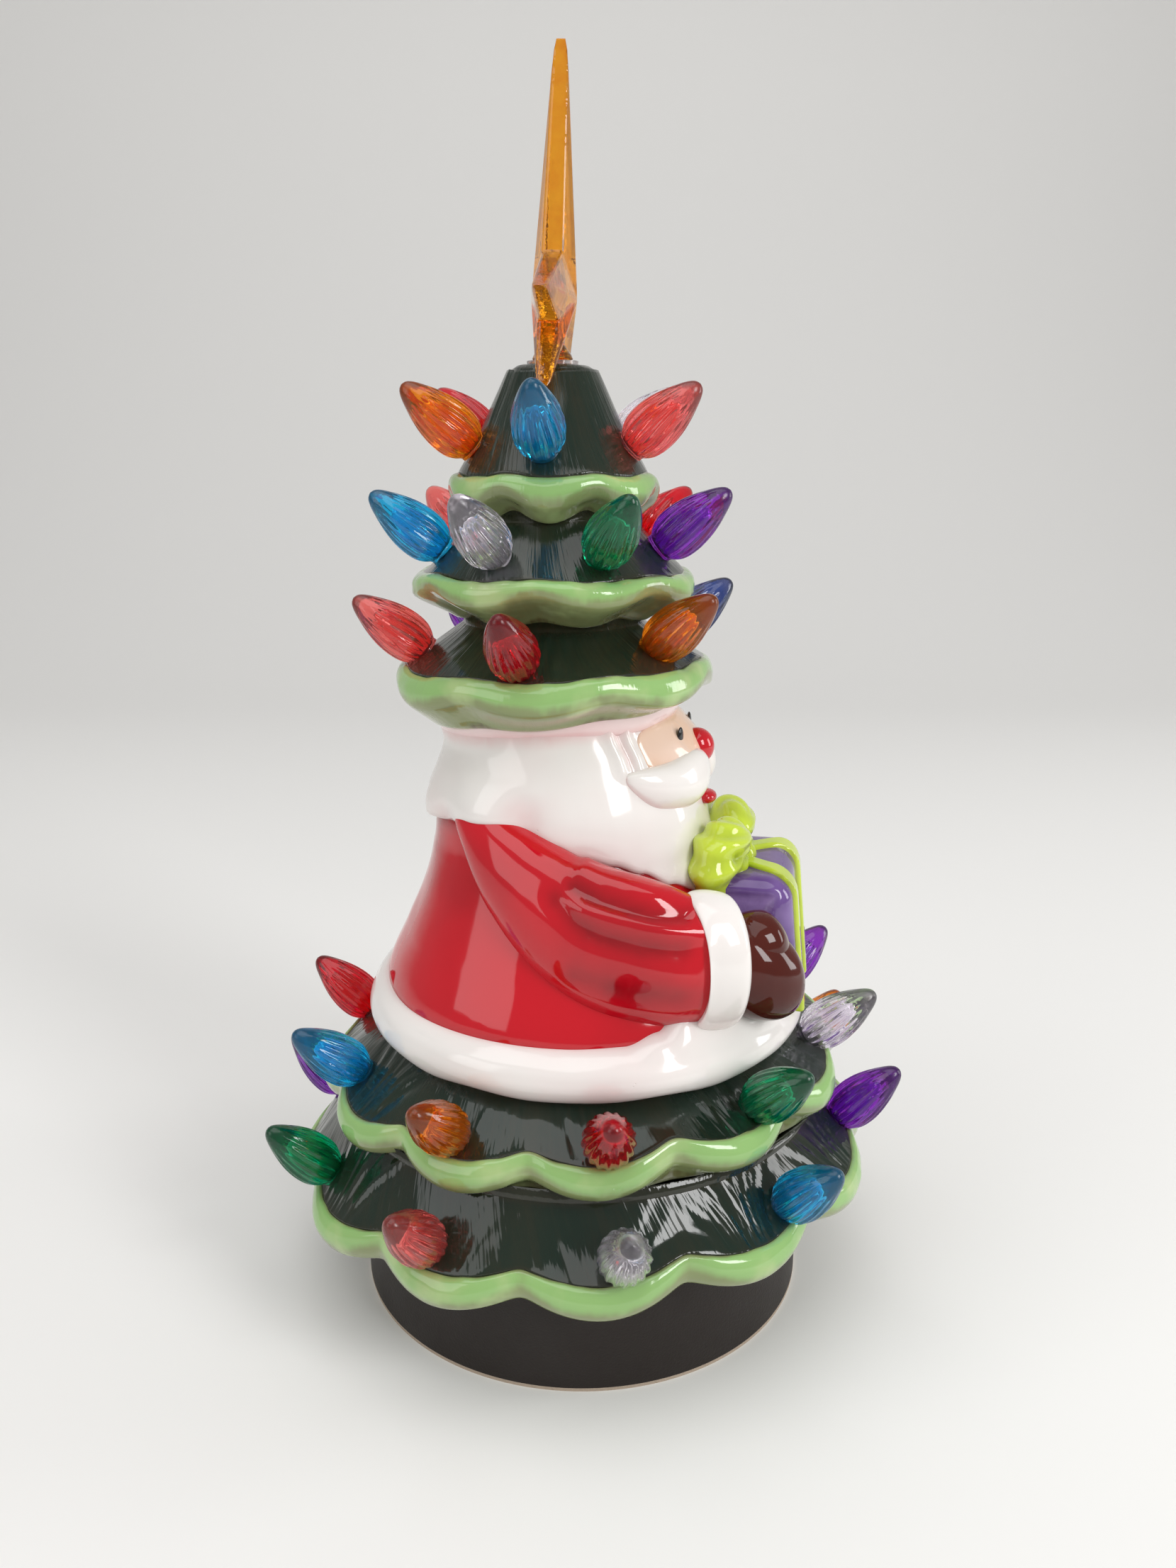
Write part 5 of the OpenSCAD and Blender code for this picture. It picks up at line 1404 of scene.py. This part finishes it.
finish_piece("face_patch", face_dome(), "face")
eyes = bmesh.new()
for side in (-1, 1):
    place = Vector(on_body(270 + side * EYE_TURN, EYE_Z, EYE_PROUD)) * MM
    turn = Matrix.Rotation(math.radians(side * EYE_TURN), 4, "Z")
    add_mesh(eyes, egg((0, 0, 0), EYE_HALF, 32), Matrix.Translation(place) @ turn)
finish_piece("eyes_glazed", eyes, "eyes")
finish_piece("nose_button", egg(NOSE, NOSE_HALF, 64), "nose")
finish_piece("lower_lip", egg(LIP, LIP_HALF, 48), "mouth")

# %% [markdown]
# ### Moustache
#
# Two mirrored lobes meet under the nose. Each is a bent tube again, with a few soft lines combed along it.

# %% Moustache
MOUSTACHE_Z = 153.8
MOUSTACHE = [(0.02, -0.82, -0.15, 0.05, 0.07), (0.16, -0.83, -0.175, 0.118, 0.16),
             (0.338, -0.79, -0.205, 0.13, 0.185), (0.50, -0.695, -0.215, 0.12, 0.17),
             (0.64, -0.56, -0.19, 0.10, 0.14), (0.745, -0.44, -0.115, 0.07, 0.085)]


def moustache_relief(point, share, around):
    lines = 0.16 * math.sin(math.radians(3 * around) + 9 * share)
    # Painted pink shade on the underside of each lobe.
    return lines * math.sin(math.pi * share), 0.55 * underside(around, 0.35, 0.95)


moustache = bmesh.new()
for side in (-1, 1):
    lobe = bent_tube(scaled(MOUSTACHE, HEAD_R, MOUSTACHE_Z), 60, 72, moustache_relief, (0.16, 0.3), side)
    add_mesh(moustache, lobe)
finish_piece("moustache_lobes", moustache, "moustache")

# %% [markdown]
# ## The gift
#
# The gift is a soft-cornered block in purple glaze with a folded end of its wrap, a flat raised ribbon and a
# puffy bow. A bevelled box makes the block. Each streamer is a strip of the same box a little larger, and
# leans and rounds over the edge with it.

# %% Gift
GIFT_LOW, GIFT_HIGH = (-22.0, -58.6, 85.8), (22.0, -32.6, 123.4)
GIFT_LEAN, GIFT_LEAN_Z = 0.10, 106.0
GIFT_ROUND = 6.0
# The fold of the wrap: where it starts across, its middle in Y, its drop from the top, and its triangle
FOLD_X, FOLD_Y, FOLD_DROP = 18.5, -46.5, 2.0
FOLD_HALF, FOLD_TALL, FOLD_DEPTH = 10.5, 15.0, 1.6
# The streamers: width, thickness and rounding, place across, how far they run back and fan in there
RIBBON_W, RIBBON_T, RIBBON_X = 6.4, 1.2, 12.4
RIBBON_BACK, RIBBON_FAN, RIBBON_FAN_Y = -42.5, 8.5, -41


def block(low, high, radius, cuts):
    """A box with rounded edges and an even grid, so that it can be shaped."""
    bm = bmesh.new()
    bm.verts.layers.float.new("wash_and_shading")
    bmesh.ops.create_cube(bm, size=1)
    for vert in bm.verts:
        vert.co = Vector([(a + b) / 2 + (b - a) * c for a, b, c in zip(low, high, vert.co)]) * MM
    bmesh.ops.bevel(
        bm, geom=list(bm.edges), offset=radius * MM, segments=8, profile=0.5, affect="EDGES", material=-1
    )
    long_edges = [edge for edge in bm.edges if edge.calc_length() > 2 * radius * MM]
    bmesh.ops.subdivide_edges(bm, edges=long_edges, cuts=cuts, use_grid_fill=True)
    return bm


def dent_wrap(bm):
    """The folded paper at each end: a triangle that lies lower than the paper round it."""
    layer = bm.verts.layers.float["wash_and_shading"]
    for vert in bm.verts:
        x, y, z = (c / MM for c in vert.co)
        if abs(x) > FOLD_X:
            down = (GIFT_HIGH[2] - FOLD_DROP - z) / FOLD_TALL
            inside = soft_step(FOLD_HALF * (1 - down) - abs(y - FOLD_Y), 0.0, 1.6) * soft_step(down, 0.02, 0.2)
            vert.co.x -= math.copysign(FOLD_DEPTH * inside * MM, x)
            vert[layer] = inside * (0.55 + 0.45 * down)


def round_over(vert, front, top, radius):
    """Brings a vertex outside the rounded front top edge onto its arc."""
    ahead, above = front + radius - vert.co.y, vert.co.z - (top - radius)
    reach = math.hypot(ahead, above)
    if ahead > 0 and above > 0 and reach > radius:
        vert.co.y = front + radius - ahead * radius / reach
        vert.co.z = top - radius + above * radius / reach


def lean_back(bm):
    """The gift leans against the coat, so its top lies further back than its foot."""
    for vert in bm.verts:
        vert.co.y += GIFT_LEAN * (vert.co.z - GIFT_LEAN_Z * MM)


gift = block(GIFT_LOW, GIFT_HIGH, GIFT_ROUND, 26)
dent_wrap(gift)
lean_back(gift)
finish_piece("wrapped_gift", gift, "gift_box")

ribbon = bmesh.new()
front, top = GIFT_LOW[1] - RIBBON_T, GIFT_HIGH[2] + RIBBON_T
for side in (-1, 1):
    strip = block((side * RIBBON_X - RIBBON_W / 2, front, GIFT_LOW[2] + 0.4),
                  (side * RIBBON_X + RIBBON_W / 2, RIBBON_BACK, top), RIBBON_T, 24)
    for vert in strip.verts:
        round_over(vert, front * MM, top * MM, (GIFT_ROUND + RIBBON_T) * MM)
        vert.co.x -= side * RIBBON_FAN * soft_step(vert.co.y / MM, front + 2, RIBBON_FAN_Y) * MM
    lean_back(strip)
    add_mesh(ribbon, strip)
finish_piece("gift_streamers", ribbon, "gift_ribbon")

# %% [markdown]
# ### The bow
#
# The bow is a knot with two fat loops that lean against the beard. Each loop has a crease along its middle, a
# pinch beside the knot, one pleat, and fine crinkles that fan out from the knot as gathered ribbon does.

# %% Bow
KNOT, KNOT_HALF = (0, -43.0, 123.6), (4.6, 4.2, 3.8)
LOOP_MIDDLE, LOOP_HALF = (12.2, -38.6, 125.8), (13.4, 7.2, 9.8)
LOOP_DROP, LOOP_TURN = 16, 14
# Lines of (x, z) points on a loop, with their widths, and where its crinkles fan out from
CREASE = ([(-13, -3), (-4, -1), (4, 3)], 1.6)
PLEAT = ([(-12, 1), (-2, 5), (5, 8)], 1.4)
LOOP_ROOT, CRINKLES, CRINKLE_HEIGHT = -14, 22, 0.45


def loop_shape(point):
    x, _, z = point
    crease, pleat = near_line(x, z, *CREASE), near_line(x, z, *PLEAT)
    hollow = bell(x, 4, 5) * bell(z, -3.5, 3)
    fan = CRINKLE_HEIGHT * math.sin(CRINKLES * math.atan2(z, x - LOOP_ROOT))
    crinkle = fan * soft_step(math.hypot(x - LOOP_ROOT, z), 6, 14)
    # Painted shade: darker lime in the crease, the hollow and the dips between the crinkles.
    return -1.3 * crease - 1.5 * hollow + 0.5 * pleat + crinkle, 0.8 * crease + 0.6 * hollow - 0.6 * crinkle


def bow_loop(side):
    bm = egg((0, 0, 0), LOOP_HALF, 96, loop_shape)
    move = (
        Matrix.Translation(Vector(LOOP_MIDDLE) * MM) @ Matrix.Rotation(math.radians(LOOP_TURN), 4, "Z")
        @ Matrix.Rotation(math.radians(LOOP_DROP), 4, "Y")
    )
    bmesh.ops.transform(bm, matrix=move, verts=bm.verts)
    if side < 0:
        bmesh.ops.scale(bm, vec=(-1, 1, 1), verts=bm.verts)
        bmesh.ops.reverse_faces(bm, faces=bm.faces)
    return bm


bow = egg(KNOT, KNOT_HALF, 48)
for side in (-1, 1):
    add_mesh(bow, bow_loop(side))
finish_piece("puffy_bow", bow, "gift_bow")

# %% [markdown]
# ## What stays as the CAD made it
#
# The drum, the plate and everything inside have the right shapes already. They keep their meshes and only
# take their finishes, through the slots of their objects.

# %% Finishes of the CAD nodes
kept = 0
for name, part in frame["nodes"].items():
    for material_slot in part.material_slots:
        if slot_of[name] in finishes:
            material_slot.material = finishes[slot_of[name]]
            kept += 1
print("CAD nodes with a finish of their own:", kept)
